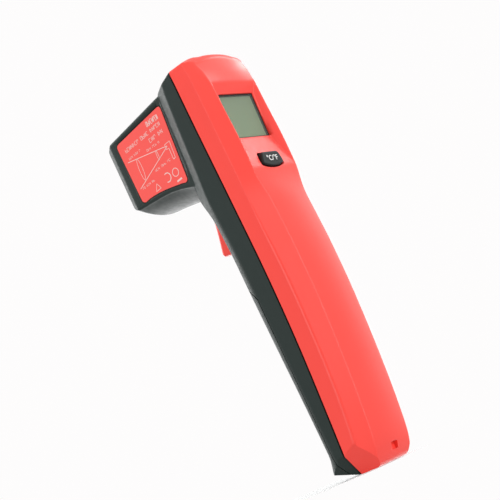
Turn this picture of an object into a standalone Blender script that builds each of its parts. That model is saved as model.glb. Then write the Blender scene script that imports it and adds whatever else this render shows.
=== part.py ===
"""Stick-shaped infrared thermometer: a hand-held casing with a display, a snout and a trigger.

Every length below is in millimetres and becomes metres when a mesh is made. The design frame has
+X to the user's right, -Y towards the user, +Y towards the target and +Z up along the handle.
Its Y zero is the joint between the two casing halves, level with the display. The empty called
assembly_datum then moves everything along Y, so that the world origin is the middle of the base.
"""
import math

import bmesh
import bpy
from mathutils import Matrix, Vector

MM = 0.001

# Casing
HEIGHT = 177.4
TOP_ARCH = 2.3
TOP_FILLET_SIDE = 0.8
TOP_FILLET_FRONT = 4.2
TOP_CORNER_DROP = 1.3
INNER_TOP = 171.4
WALL = 1.8
JOINT_GAP = 0.3
HALF_WIDTH_BASE = 18.1
HALF_WIDTH_HEAD = 19.0
FACE_HALF_WIDTH = 11.8
RIM_HALF_WIDTH = 14.2
BROW_HALF_WIDTH = 15.6
BROW_RECESS = 2.2
SHOULDER_START = 110.0
SHOULDER_END = 124.0
FACE_CROWN = 0.7
BACK_ROUNDING = 6.0
HEAD_FACET = (2.4, 5.4)
HEAD_BACK_DEPTH = 8.0
HEAD_BLEND = (113.0, 127.0)
TOP_REACHES = (1.0, 0.98, 0.93, 0.82, 0.6)
TOP_SLOPE = 0.37
STATION_STEP = 7.0
SHOULDER_DEPTH = 8.5

# Bottom corners and foot
CHAMFER_BASE_HALF_WIDTH = 12.0
CHAMFER_RISE = 0.723
CHAMFER_LEAN = 0.28
TOE_DEPTH = 12.6
TOE_NORMAL = (0.0, -0.817, -0.577)
HEEL_START = -3.6
HEEL_NORMAL = (0.0, 0.395, -0.919)
HEEL_CORNER = (0.0, 7.0, 4.7)
HEEL_CORNER_NORMAL = (0.0, 0.78, -0.62)
FOOT_FLARE = 1.9
FOOT_TOP = 11.0

# Slot for a wrist cord, through the front casing above the toe
LANYARD_LEFT = -1.9
LANYARD_RIGHT = 2.5
LANYARD_LOW = 3.8
LANYARD_HIGH = 6.8

# Snout
SNOUT_ROOT = 8.0
SNOUT_FLARE_END = 12.0
SNOUT_RIM = 46.4
SNOUT_TIP = 49.3
SNOUT_HALF_WIDTH = 17.0
SNOUT_TAPER = 0.0114
SNOUT_TOP_CROWN = 1.8
SNOUT_CORNER = 1.2
SNOUT_RIM_BREAK = 1.4
SNOUT_SLANT = 0.05
OPTICS_HEIGHT = 149.0

# Display window and the scoop around it
SCOOP_TOP = 163.2
SCOOP_BOTTOM = 124.3
SCOOP_FLOOR = -12.0
SCOOP_LAND = 0.4
WINDOW_HALF_WIDTH = 11.0
WINDOW_TOP = 158.2
WINDOW_BOTTOM = 138.8
WINDOW_SILL = 1.8

# Circuit board behind the display
BOARD_FRONT = -4.2
BOARD_THICKNESS = 1.6
BOARD_HALF_WIDTH = 14.5
BOARD_BOTTOM = 98.0
BOARD_TOP = 170.5
BOARD_SCREWS = ((-9.4, 101.6), (9.4, 101.6), (0.0, 167.6))

# Unit button
BUTTON_TOP = 130.6
BUTTON_BOTTOM = 125.4
BUTTON_SAG = 1.6
BUTTON_HALF_TOP = 5.6
BUTTON_HALF_BOTTOM = 7.2
BUTTON_FACE = -16.3
BUTTON_TRAVEL = 0.6
BUTTON_GAP = 0.35
BUTTON_CENTRE = 127.6
SWITCH_TIP = 4.5

# Trigger
PIVOT_Y = 9.0
PIVOT_Z = 128.5
PIN_RADIUS = 1.0
TRIGGER_HALF_WIDTH = 6.2
TRIGGER_SIDE_GAP = 0.5
TRIGGER_SLOT_TOP = 125.6
TRIGGER_SLOT_BOTTOM = 98.6
PIN_EAR_THICKNESS = 2.2
PIN_HALF_LENGTH = 8.5
SPRING_TURNS = 4.5
SPRING_RADIUS = 2.0
SPRING_HEIGHT = 116.5
HUB_RADIUS = 3.0

# Battery, its cover and the casing screws
BATTERY = (26.0, 16.8, 44.9)
BATTERY_CENTRE_Y = -4.5
BATTERY_BOTTOM = 24.0
STUD_X = 6.35
COVER_GAP = 0.3
COVER_SEAM = ((6.6, 81.4), (4.2, 77.4), (1.3, 10.3), (-0.9, 0.4), (-1.2, -2.0))
UPPER_SCREWS = ((-9.8, 89.0), (9.8, 89.0))
LOWER_SCREWS = ((-8.6, 11.5), (8.6, 11.5))
SCREW_SHANK = 1.25
SCREW_HEAD = 2.4
BOSS_RADIUS = 2.9
REAR_BOSS_RADIUS = 3.6
SINK_DEPTH = 3.2
LOW_BOSS_HEIGHT = 3.0
PILOT_DEPTH = 9.0
PART_GAP = 0.3

RED = (0.80, 0.070, 0.050, 1.0)
GREY = (0.045, 0.058, 0.056, 1.0)
RUBBER = (0.030, 0.036, 0.036, 1.0)
BLACK = (0.012, 0.012, 0.013, 1.0)
STEEL = (0.58, 0.58, 0.60, 1.0)
BOARD_GREEN = (0.020, 0.160, 0.070, 1.0)
LCD_GREEN = (0.200, 0.250, 0.175, 1.0)
MILK = (0.820, 0.830, 0.800, 1.0)
CLEAR = (0.850, 0.880, 0.870, 0.35)
WHITE = (0.780, 0.780, 0.760, 1.0)


def clear_scene():
    """Start from an empty scene."""
    for item in list(bpy.data.objects):
        bpy.data.objects.remove(item, do_unlink=True)


def new_collection(name):
    collection = bpy.data.collections.new(name)
    bpy.context.scene.collection.children.link(collection)
    return collection


clear_scene()
PARTS = new_collection("infrared_thermometer")
CUTTERS = new_collection("cutters")


def new_empty(name, location, parent=None, turn_x=0.0):
    empty = bpy.data.objects.new(name, None)
    empty.location = Vector(location) * MM
    empty.rotation_euler.x = turn_x
    empty.parent = parent
    PARTS.objects.link(empty)
    return empty


# --- curves that the casing follows -----------------------------------------------------------

def smooth_through(*points):
    """A smooth function of height through (height, value) points."""
    heights = [p[0] for p in points]
    values = [p[1] for p in points]
    last = len(points) - 1

    def slope(i):
        low = max(i - 1, 0)
        high = min(i + 1, last)
        return (values[high] - values[low]) / (heights[high] - heights[low])

    def value_at(height):
        i = 0
        while i < last - 1 and height > heights[i + 1]:
            i += 1
        span = heights[i + 1] - heights[i]
        t = (height - heights[i]) / span
        start = (1 + 2 * t) * (1 - t) ** 2 * values[i] + t * (1 - t) ** 2 * span * slope(i)
        end = t * t * (3 - 2 * t) * values[i + 1] + t * t * (t - 1) * span * slope(i + 1)
        return start + end

    return value_at


def blend(low, high, value):
    """0 below low, 1 above high, and a smooth step between."""
    t = min(max((value - low) / (high - low), 0.0), 1.0)
    return t * t * (3 - 2 * t)


parting_y = smooth_through(
    (0, -3.9), (25, -4.7), (55, -5.25), (85, -4.7), (115, -3.1), (145, -1.3), (177, 0.4))
ridge_y = smooth_through(
    (0, -9.6), (8, -10.5), (16, -11.5), (28, -12.7), (45, -13.5), (62, -13.6), (76, -13.4), (88, -12.9),
    (100, -12.0), (112, -11.4), (125, -10.7), (142, -9.9), (156, -9.2), (168, -8.4), (177, -7.4))
face_y = smooth_through(
    (0, -14.0), (12, -15.65), (20, -16.45), (30, -17.2), (50, -18.1), (70, -18.4), (90, -17.8), (100, -17.1),
    (110, -16.3), (118, -15.8), (126, -15.8), (138, -15.4), (150, -14.4), (163, -13.5), (177, -13.0))
rear_edge_y = smooth_through(
    (0, -0.9), (18, -0.1), (35, 0.8), (56, 2.1), (78, 3.4), (98, 4.4), (107, 5.2), (114, 6.0), (124, 7.5),
    (135, 7.3), (159, 6.9), (177, 6.2))
snout_side_bottom = smooth_through((8, 127.6), (12, 129.5), (20, 132.0), (28, 133.4), (48, 134.3))
snout_middle_bottom = smooth_through((8, 124.6), (15, 125.6), (28, 128.1), (40, 129.9), (48, 130.8))


def snout_side_top(y):
    return 170.9 - 0.147 * (y - 11.0)


def half_width(z):
    return HALF_WIDTH_BASE + (HALF_WIDTH_HEAD - HALF_WIDTH_BASE) * min(z / 160.0, 1.0)


def face_half_width(z):
    shoulder = (RIM_HALF_WIDTH - FACE_HALF_WIDTH) * blend(SHOULDER_START, SHOULDER_END, z)
    return FACE_HALF_WIDTH + shoulder + (BROW_HALF_WIDTH - RIM_HALF_WIDTH) * brow(z)


def brow(z):
    """How far up the curved part of the head above the scoop, from 0 to 1."""
    return blend(SCOOP_TOP - 2.0, HEIGHT - 1.0, z)


def scoop_floor(z):
    """How deep the scoop around the display lies at a height, or the face where there is none."""
    stops = ((SCOOP_BOTTOM, face_y(SCOOP_BOTTOM)), (WINDOW_BOTTOM, SCOOP_FLOOR), (WINDOW_TOP, SCOOP_FLOOR),
             (SCOOP_TOP, face_y(SCOOP_TOP)))
    for (z0, y0), (z1, y1) in zip(stops, stops[1:]):
        if z0 <= z <= z1:
            return y0 + (y1 - y0) * (z - z0) / (z1 - z0)
    return face_y(z)


def front_outline(z, inset=0.0):
    """Half-section of the front casing at a height, from the joint to the middle of the face."""
    half_facet = 0.42 * inset
    side = half_width(z) - inset
    face = face_half_width(z) - half_facet
    front = max(face_y(z), scoop_floor(z) if inset else face_y(z)) + inset
    crown = 0.0 if inset else FACE_CROWN * (1.0 - blend(SHOULDER_START, SHOULDER_END, z))
    recess = BROW_RECESS * brow(z)
    joint = parting_y(z) + (2.0 if inset else 0.0)
    points = [(side, joint), (side, ridge_y(z) + half_facet)]
    for share in (1.0, 0.67, 0.33, 0.0):
        points.append((face * share, front + recess * share ** 2 - crown * (1 - share ** 2)))
    return points


def rear_outline(z, inset=0.0):
    """Half-section of the rear casing at a height, from the joint to the middle of the back."""
    side = half_width(z) - inset
    edge = rear_edge_y(z)
    radius = BACK_ROUNDING - inset
    joint = parting_y(z) + (JOINT_GAP if not inset else -2.0)
    headness = blend(HEAD_BLEND[0], HEAD_BLEND[1], z)
    points = [(side, joint)]
    facet_x, facet_y = HEAD_FACET
    head = [(0.0, 0.0), (facet_x, facet_y), (facet_x + 1.0, facet_y + 1.4),
            (facet_x + 2.5, HEAD_BACK_DEPTH - 0.4), (facet_x + 4.5, HEAD_BACK_DEPTH)]
    for i, (head_x, head_y) in enumerate(head):
        angle = math.radians(22.5 * i)
        round_x = radius * (1 - math.cos(angle))
        round_y = radius * math.sin(angle)
        faceted_y = head_y - inset * math.sin(angle)
        x = side - round_x * (1 - headness) - head_x * headness
        y = edge + round_y * (1 - headness) + faceted_y * headness
        points.append((x, y))
    points.append((0.0, points[-1][1] + 0.3))
    return points


def mirrored(half):
    """A whole ring from a half-section whose last point is on the middle plane."""
    left = [(-x, y) for x, y in half]
    return left + [(x, y) for x, y in reversed(half[:-1])]


def stations(low, high, *extra):
    """Heights from low to high in even steps, with the named ones added."""
    count = max(int(round((high - low) / STATION_STEP)), 1)
    heights = {round(low + (high - low) * i / count, 4) for i in range(count + 1)}
    heights |= {z for z in extra if low < z < high}
    return sorted(heights)


# --- making solids ----------------------------------------------------------------------------

def material(name, colour, roughness, metallic):
    made = bpy.data.materials.new(name)
    made.use_nodes = True
    shader = made.node_tree.nodes["Principled BSDF"]
    shader.inputs["Base Color"].default_value = colour
    shader.inputs["Roughness"].default_value = roughness
    shader.inputs["Metallic"].default_value = metallic
    shader.inputs["Alpha"].default_value = colour[3]
    return made


def finish_mesh(name, bm, colour=GREY, roughness=0.5, metallic=0.0, parent=None, smooth=None):
    """Turn a bmesh in millimetres into a named part."""
    bmesh.ops.scale(bm, vec=(MM, MM, MM), verts=bm.verts)
    bmesh.ops.recalc_face_normals(bm, faces=bm.faces)
    mesh = bpy.data.meshes.new(name)
    bm.to_mesh(mesh)
    bm.free()
    mesh.materials.append(material(name, colour, roughness, metallic))
    if smooth:
        mesh.shade_smooth()
        mesh.set_sharp_from_angle(angle=math.radians(smooth))
    part = bpy.data.objects.new(name, mesh)
    part.parent = parent or DATUM
    PARTS.objects.link(part)
    return part


def as_cutter(part):
    """Keep a shape only for cutting or joining others."""
    PARTS.objects.unlink(part)
    CUTTERS.objects.link(part)
    part.hide_render = True
    part.display_type = "WIRE"
    return part


def combine(part, other, operation):
    """Cut another shape out of a part, or join it on."""
    step = part.modifiers.new(operation.lower(), "BOOLEAN")
    step.operation = operation
    step.solver = "EXACT"
    step.object = as_cutter(other)


def cut(part, *others):
    for other in others:
        combine(part, other, "DIFFERENCE")


def join(part, *others):
    for other in others:
        combine(part, other, "UNION")


def loft(rings):
    """A closed solid through rings of equal length."""
    bm = bmesh.new()
    rows = [[bm.verts.new(point) for point in ring] for ring in rings]
    for low, high in zip(rows, rows[1:]):
        for i in range(len(low)):
            j = (i + 1) % len(low)
            bm.faces.new((low[i], low[j], high[j], high[i]))
    bm.faces.new(list(reversed(rows[0])))
    bm.faces.new(rows[-1])
    return bm


def slice_off(bm, point, normal):
    """Remove what lies beyond a plane and close the cut."""
    everything = bm.verts[:] + bm.edges[:] + bm.faces[:]
    result = bmesh.ops.bisect_plane(bm, geom=everything, plane_co=point, plane_no=normal, clear_outer=True)
    edges = [item for item in result["geom_cut"] if isinstance(item, bmesh.types.BMEdge)]
    bmesh.ops.edgeloop_fill(bm, edges=edges)


def prism(outline, axis, low, high):
    """An outline pushed along an axis; its points are the two other coordinates in order."""
    bm = bmesh.new()
    at = "xyz".index(axis)
    corners = [(*pair[:at], low, *pair[at:]) for pair in outline]
    face = bm.faces.new([bm.verts.new(corner) for corner in corners])
    pushed = bmesh.ops.extrude_face_region(bm, geom=[face])
    verts = [item for item in pushed["geom"] if isinstance(item, bmesh.types.BMVert)]
    step = Vector([high - low if letter == axis else 0.0 for letter in "xyz"])
    bmesh.ops.translate(bm, vec=step, verts=verts)
    return bm


def block(low, high, rounding=0.0):
    """A box between two corners, with its edges rounded if asked."""
    bm = bmesh.new()
    size = [b - a for a, b in zip(low, high)]
    middle = [(a + b) / 2 for a, b in zip(low, high)]
    matrix = Matrix.Translation(middle) @ Matrix.Diagonal((*size, 1.0))
    bmesh.ops.create_cube(bm, size=1.0, matrix=matrix)
    if rounding:
        bmesh.ops.bevel(bm, geom=bm.edges[:], offset=rounding, segments=2, affect="EDGES", profile=0.5)
    return bm


AXIS_TURN = {
    "x": Matrix.Rotation(math.radians(90), 4, "Y"),
    "y": Matrix.Rotation(math.radians(-90), 4, "X"),
    "z": Matrix.Identity(4),
}


def rod(start, axis, length, radius, end_radius=None, sides=24):
    """A cylinder or cone from its start point along an axis."""
    bm = bmesh.new()
    middle = Vector(start) + (AXIS_TURN[axis] @ Vector((0, 0, length / 2)))
    matrix = Matrix.Translation(middle) @ AXIS_TURN[axis]
    top = radius if end_radius is None else end_radius
    bmesh.ops.create_cone(
        bm, cap_ends=True, segments=sides, radius1=radius, radius2=top, depth=length, matrix=matrix)
    return bm


def turned(name, profile, location, colour, roughness, metallic=0.0, parent=None, steps=32):
    """A shape turned about the Y axis from (radius, height along Y) points, outer side from the top down."""
    mesh = bpy.data.meshes.new(name)
    closed = profile[0][0] > 0.0
    points = [(radius * MM, 0.0, height * MM) for radius, height in profile]
    edges = [(i, i + 1) for i in range(len(points) - 1)]
    if closed:
        edges.append((len(points) - 1, 0))
    mesh.from_pydata(points, edges, [])
    mesh.materials.append(material(name, colour, roughness, metallic))
    part = bpy.data.objects.new(name, mesh)
    part.parent = parent or DATUM
    part.location = Vector(location) * MM
    part.rotation_euler.x = math.radians(-90)
    PARTS.objects.link(part)
    screw = part.modifiers.new("turn", "SCREW")
    screw.steps = steps
    screw.render_steps = steps
    screw.use_merge_vertices = True
    screw.merge_threshold = 0.00001
    screw.use_smooth_shade = True
    return part


def wire(name, points, radius, colour, roughness=0.5, metallic=0.0, resolution=2):
    """A round wire along a list of points."""
    curve = bpy.data.curves.new(name, "CURVE")
    curve.dimensions = "3D"
    curve.bevel_depth = radius * MM
    curve.bevel_resolution = resolution
    curve.use_fill_caps = True
    spline = curve.splines.new("POLY")
    spline.points.add(len(points) - 1)
    for spot, point in zip(spline.points, points):
        spot.co = (*(Vector(point) * MM), 1.0)
    curve.materials.append(material(name, colour, roughness, metallic))
    part = bpy.data.objects.new(name, curve)
    part.parent = DATUM
    PARTS.objects.link(part)
    return part


def route(stops, count):
    """Evenly spaced points on a smooth path through a few stops."""
    last = len(stops) - 1
    axes = [smooth_through(*[(i, stop[axis]) for i, stop in enumerate(stops)]) for axis in range(3)]
    return [tuple(axis(last * i / count) for axis in axes) for i in range(count + 1)]


# --- casing -----------------------------------------------------------------------------------

NAMED_HEIGHTS = (
    SHOULDER_START, 117.0, 121.0, SHOULDER_END, SCOOP_BOTTOM, WINDOW_BOTTOM, WINDOW_TOP, SCOOP_TOP)


def top_ring(edge, reach):
    """The head's outline drawn in towards its middle, on a top arched across and rounded at its edges."""
    ring = []
    for x, y in edge:
        forward = blend(-ridge_y(HEIGHT), -face_y(HEIGHT), -y)
        radius = TOP_FILLET_SIDE + (TOP_FILLET_FRONT - TOP_FILLET_SIDE) * forward
        away = (1.0 - reach) * max(abs(x), abs(y))
        left = max(radius - away, 0.0)
        rounding = radius - math.sqrt(radius * radius - left * left)
        corner = forward * min(abs(x) / RIM_HALF_WIDTH, 1.0) ** 4 * left / radius
        arch = TOP_ARCH * abs(x * reach / HALF_WIDTH_HEAD) ** 3
        slope = TOP_SLOPE * max(y * reach - parting_y(HEIGHT), 0.0)
        ring.append((x * reach, y * reach, HEIGHT - arch - rounding - slope - TOP_CORNER_DROP * corner))
    return ring


def body_solid(outline, inset):
    """The filled handle and head, cut to the bottom chamfers, or the hollow inside them."""
    low, high = (WALL, INNER_TOP) if inset else (0.0, HEIGHT - SHOULDER_DEPTH)
    rings = []
    for z in stations(low, high, *NAMED_HEIGHTS):
        rings.append([(x, y, z) for x, y in mirrored(outline(z, inset))])
    if not inset:
        edge = mirrored(outline(HEIGHT, 0.0))
        rings += [top_ring(edge, reach) for reach in TOP_REACHES]
    bm = loft(rings)
    if not inset:
        bm.faces.ensure_lookup_table()
        crown = bmesh.ops.poke(bm, faces=[bm.faces[-1]])["verts"][0]
        crown.co.z = HEIGHT - TOP_SLOPE * max(crown.co.y, 0.0)
    for side in (-1, 1):
        normal = Vector((side, -CHAMFER_LEAN, -CHAMFER_RISE))
        point = Vector((side * CHAMFER_BASE_HALF_WIDTH, -4.0, 0.0)) - normal.normalized() * inset
        slice_off(bm, point, normal)
    return bm


def front_solid(inset):
    bm = body_solid(front_outline, inset)
    toe = Vector((0.0, -TOE_DEPTH, 0.0)) - Vector(TOE_NORMAL) * inset
    slice_off(bm, toe, TOE_NORMAL)
    return bm


def cut_heel(bm, inset):
    """The butt rises from the joint towards the heel."""
    normal = Vector(HEEL_NORMAL)
    slice_off(bm, Vector((0.0, HEEL_START, 0.0)) - normal * inset, normal)


def rear_solid(inset):
    bm = body_solid(rear_outline, inset)
    if inset:
        slope = Vector((0.0, TOP_SLOPE, 1.0)).normalized()
        slice_off(bm, Vector((0.0, 0.0, HEIGHT - TOP_ARCH)) - slope * inset, slope)
    cut_heel(bm, inset)
    return bm


def snout_ring(y, inset, shrink=0.0):
    """Cross-section of the snout: flat sides, and shallow arcs above and below."""
    side = SNOUT_HALF_WIDTH - SNOUT_TAPER * (y - SNOUT_FLARE_END) - inset - shrink
    top = snout_side_top(y) - inset - shrink
    bottom = snout_side_bottom(y) + inset + shrink
    drop = snout_side_bottom(y) - snout_middle_bottom(y)
    corner = SNOUT_CORNER
    shares = (0.75, 0.5, 0.25, 0.0, -0.25, -0.5, -0.75)
    inner = side - corner
    points = [(side, bottom + corner), (side, top - corner), (inner, top)]
    points += [(inner * s, top + SNOUT_TOP_CROWN * (1 - s * s)) for s in shares]
    points += [(-inner, top), (-side, top - corner), (-side, bottom + corner), (-inner, bottom)]
    points += [(-inner * s, bottom - drop * (1 - s * s)) for s in shares]
    points.append((inner, bottom))
    forward = (y - SNOUT_FLARE_END) / (SNOUT_TIP - SNOUT_FLARE_END)
    return [(x, y + SNOUT_SLANT * forward * (z - OPTICS_HEIGHT), z) for x, z in points]


def snout_solid(inset):
    tip = SNOUT_TIP - inset
    rim = SNOUT_RIM - inset
    places = [SNOUT_ROOT, SNOUT_FLARE_END, 16.0, 20.0, 26.0, 34.0, rim]
    rings = [snout_ring(y, inset) for y in places]
    rings.append(snout_ring(tip, inset, 0.0 if inset else SNOUT_RIM_BREAK))
    return loft(rings)


def scoop_solid():
    """The hollow around the display, with sloping walls and a ramp below."""
    rings = []
    wall_slope = (RIM_HALF_WIDTH - SCOOP_LAND - WINDOW_HALF_WIDTH - 0.3) / (SCOOP_FLOOR - face_y(148.0))
    reach = 3.0
    heights = (SCOOP_BOTTOM - 4.0, SCOOP_BOTTOM, 131.0, WINDOW_BOTTOM, 148.0, WINDOW_TOP, SCOOP_TOP,
               SCOOP_TOP + 2.0)
    for z in heights:
        rim_y = face_y(z)
        floor = scoop_floor(z)
        if z < SCOOP_BOTTOM or z > SCOOP_TOP:
            floor = rim_y - 1.2
        rim_x = face_half_width(z) - SCOOP_LAND
        floor_x = rim_x - wall_slope * (floor - rim_y)
        outer_x = rim_x + wall_slope * reach
        outline = [(-floor_x, floor), (-outer_x, rim_y - reach), (outer_x, rim_y - reach), (floor_x, floor)]
        rings.append([(x, y, z) for x, y in outline])
    return loft(rings)


def button_outline(grow=0.0):
    """Straight top and sides, and a curved lower edge."""
    points = [(BUTTON_HALF_TOP + grow, BUTTON_TOP + grow), (-BUTTON_HALF_TOP - grow, BUTTON_TOP + grow)]
    wide = BUTTON_HALF_BOTTOM + grow
    for share in (-1.0, -0.66, -0.33, 0.0, 0.33, 0.66, 1.0):
        points.append((wide * share, BUTTON_BOTTOM - grow - BUTTON_SAG * (1 - share * share)))
    return points


def build_front_shell():
    shell = finish_mesh("front_shell", front_solid(0.0), RED, 0.42)
    cut(shell, finish_mesh("front_hollow", front_solid(WALL)))
    cut(shell, finish_mesh("scoop", scoop_solid()))
    window = block((-WINDOW_HALF_WIDTH, -20.0, WINDOW_BOTTOM), (WINDOW_HALF_WIDTH, -8.0, WINDOW_TOP))
    cut(shell, finish_mesh("window_opening", window))
    cut(shell, finish_mesh("button_opening", prism(button_outline(BUTTON_GAP), "y", -20.0, -8.0)))
    slot = block((LANYARD_LEFT, -19.0, LANYARD_LOW), (LANYARD_RIGHT, -12.0, LANYARD_HIGH), 0.5)
    cut(shell, finish_mesh("lanyard_opening", slot))
    for i, (x, z) in enumerate(UPPER_SCREWS + LOWER_SCREWS):
        start = face_y(z) + 1.5
        end = parting_y(z) - 0.2
        boss = rod((x, start, z), "y", end - start, BOSS_RADIUS, sides=16)
        join(shell, finish_mesh(f"front_boss_{i + 1}", boss))
        pilot = rod((x, end - PILOT_DEPTH, z), "y", PILOT_DEPTH + 3.0, SCREW_SHANK + 0.25, sides=16)
        cut(shell, finish_mesh(f"front_pilot_{i + 1}", pilot))
    for i, (x, z) in enumerate(BOARD_SCREWS):
        start = max(face_y(z), scoop_floor(z)) + 1.0
        length = BOARD_FRONT - PART_GAP - start
        join(shell, finish_mesh(f"board_boss_{i + 1}", rod((x, start, z), "y", length, 2.3, sides=16)))
        cut(shell, finish_mesh(f"board_pilot_{i + 1}", rod((x, -9.0, z), "y", 8.0, 1.2, sides=12)))
    return shell


def cover_region(grow):
    """Everything behind the seam of the battery cover, as a prism across the handle."""
    outline = [(y - grow, z + (grow if z > 50 else 0.0)) for y, z in COVER_SEAM]
    outline += [(20.0, -2.0), (20.0, COVER_SEAM[0][1] + grow)]
    return prism(outline, "x", -25.0, 25.0)


def build_rear_shell():
    shell = finish_mesh("rear_shell", rear_solid(0.0), GREY, 0.48)
    join(shell, finish_mesh("snout_outer", snout_solid(0.0)))
    cut(shell, finish_mesh("rear_hollow", rear_solid(WALL)))
    cut(shell, finish_mesh("snout_hollow", snout_solid(WALL)))
    cut(shell, finish_mesh("cover_opening", cover_region(0.0)))
    opening = TRIGGER_HALF_WIDTH + TRIGGER_SIDE_GAP
    trigger_slot = block((-opening, 3.0, TRIGGER_SLOT_BOTTOM), (opening, 18.0, TRIGGER_SLOT_TOP))
    cut(shell, finish_mesh("trigger_opening", trigger_slot))
    cut(shell, finish_mesh("aperture", rod((0, -6.0, 0), "y", 9.0, 12.5, sides=48), parent=OPTICS))
    cut(shell, finish_mesh("bezel_seat", rod((0, -1.2, 0), "y", 4.0, 14.1, sides=48), parent=OPTICS))
    for side in (-1, 1):
        inner = side * (TRIGGER_HALF_WIDTH + 0.6)
        outer = inner + side * PIN_EAR_THICKNESS
        low, high = sorted((inner, outer))
        ear = block((low, 5.6, PIVOT_Z - 4.1), (high, 15.0, PIVOT_Z + 3.5))
        join(shell, finish_mesh(f"pin_ear_{(side + 3) // 2}", ear))
        recess = label_solid(side, 0.35, -0.45, 1.0)
        cut(shell, finish_mesh(f"label_recess_{(side + 3) // 2}", recess))
    bore_half = PIN_HALF_LENGTH + 0.2
    bore = rod((-bore_half, PIVOT_Y, PIVOT_Z), "x", 2 * bore_half, PIN_RADIUS + PART_GAP, sides=16)
    cut(shell, finish_mesh("pin_bore", bore))
    for i, (x, z) in enumerate(UPPER_SCREWS):
        start = parting_y(z) + JOINT_GAP + 0.2
        end = rear_edge_y(z) + BACK_ROUNDING - 1.0
        boss = rod((x, start, z), "y", end - start, REAR_BOSS_RADIUS, sides=20)
        join(shell, finish_mesh(f"rear_boss_{i + 1}", boss))
        way = rod((x, -8.0, z), "y", 20.0, SCREW_SHANK + PART_GAP, sides=16)
        cut(shell, finish_mesh(f"screw_way_{i + 1}", way))
        sink = rod((x, start + SINK_DEPTH, z), "y", 20.0, SCREW_HEAD + 0.35, sides=20)
        cut(shell, finish_mesh(f"screw_sink_{i + 1}", sink))
    floor_top = BATTERY_BOTTOM - 0.4
    shelf = block((-17.2, parting_y(20) + 0.6, floor_top - 2.0), (17.2, -0.3, floor_top))
    join(shell, finish_mesh("battery_shelf", shelf))
    for i, (x, z) in enumerate(LOWER_SCREWS):
        start = parting_y(z) + JOINT_GAP + 0.2
        boss = rod((x, start, z), "y", LOW_BOSS_HEIGHT, REAR_BOSS_RADIUS, sides=20)
        join(shell, finish_mesh(f"low_boss_{i + 1}", boss))
        web_low, web_high = sorted((x * 1.3, x * 2.0))
        web = block((web_low, start + 0.4, z - 1.0), (web_high, start + 2.6, z + 1.0))
        join(shell, finish_mesh(f"boss_web_{i + 1}", web))
        way = rod((x, -8.0, z), "y", 12.0, SCREW_SHANK + PART_GAP, sides=16)
        cut(shell, finish_mesh(f"low_way_{i + 1}", way))
    return shell


def build_battery_cover():
    """The back of the handle with its foot, cut from the same form as the rear casing."""
    heights = stations(0.0, 90.0, 2.5, FOOT_TOP)
    foot = []
    for z in heights:
        flare = FOOT_FLARE * (1.0 - blend(1.5, FOOT_TOP, z))
        ring = mirrored(rear_outline(z))
        foot.append([(x, y + flare if y > rear_edge_y(z) + 0.5 else y, z) for x, y in ring])
    bm = loft(foot)
    for side in (-1, 1):
        slice_off(bm, (side * CHAMFER_BASE_HALF_WIDTH, -4.0, 0.0), (side, -CHAMFER_LEAN, -CHAMFER_RISE))
    cut_heel(bm, 0.0)
    slice_off(bm, HEEL_CORNER, HEEL_CORNER_NORMAL)
    cover = finish_mesh("battery_cover", bm, GREY, 0.48)
    cut(cover, finish_mesh("cover_hollow", rear_solid(WALL)))
    region = finish_mesh("cover_bounds", cover_region(-COVER_GAP))
    combine(cover, region, "INTERSECT")
    for i in range(3):
        z = 68.0 + 3.2 * i
        y = rear_edge_y(z) + BACK_ROUNDING + 0.45
        groove = rod((-5.0, y, z), "x", 10.0, 0.8, sides=12)
        cut(cover, finish_mesh(f"thumb_groove_{i + 1}", groove))
    return cover


# --- snout label ------------------------------------------------------------------------------

def label_outline(grow=0.0):
    """Label edge on the snout's side, as (Y, Z) points with rounded corners."""
    corners = ((12.9 - grow, 166.9 + grow), (43.2 + grow, 163.2 + grow), (41.3 + grow, 135.9 - grow),
               (14.3 - grow, 133.3 - grow))
    radius = 1.8
    points = []
    count = len(corners)
    for i, corner in enumerate(corners):
        here = Vector(corner)
        before = (Vector(corners[i - 1]) - here).normalized() * radius
        after = (Vector(corners[(i + 1) % count]) - here).normalized() * radius
        for share in (0.0, 0.33, 0.67, 1.0):
            curve = here + before * (1 - share) ** 2 + after * share ** 2
            points.append(tuple(curve))
        if i == 2:
            points += [(34.0, 136.1 - grow), (27.0, 135.8 - grow), (20.0, 134.8 - grow)]
    return points


def label_solid(side, grow, low, high):
    """A plate that lies along the snout's side wall between two heights above it."""
    bm = prism(label_outline(grow), "x", low, high)
    for vert in bm.verts:
        wall = SNOUT_HALF_WIDTH - SNOUT_TAPER * (vert.co.y - SNOUT_FLARE_END)
        vert.co.x = side * (wall + vert.co.x)
    return bm


def build_labels():
    for side, name in ((-1, "label_left"), (1, "label_right")):
        finish_mesh(name, label_solid(side, 0.0, -0.15, 0.1), RED, 0.35)


# --- optics -----------------------------------------------------------------------------------

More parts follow.
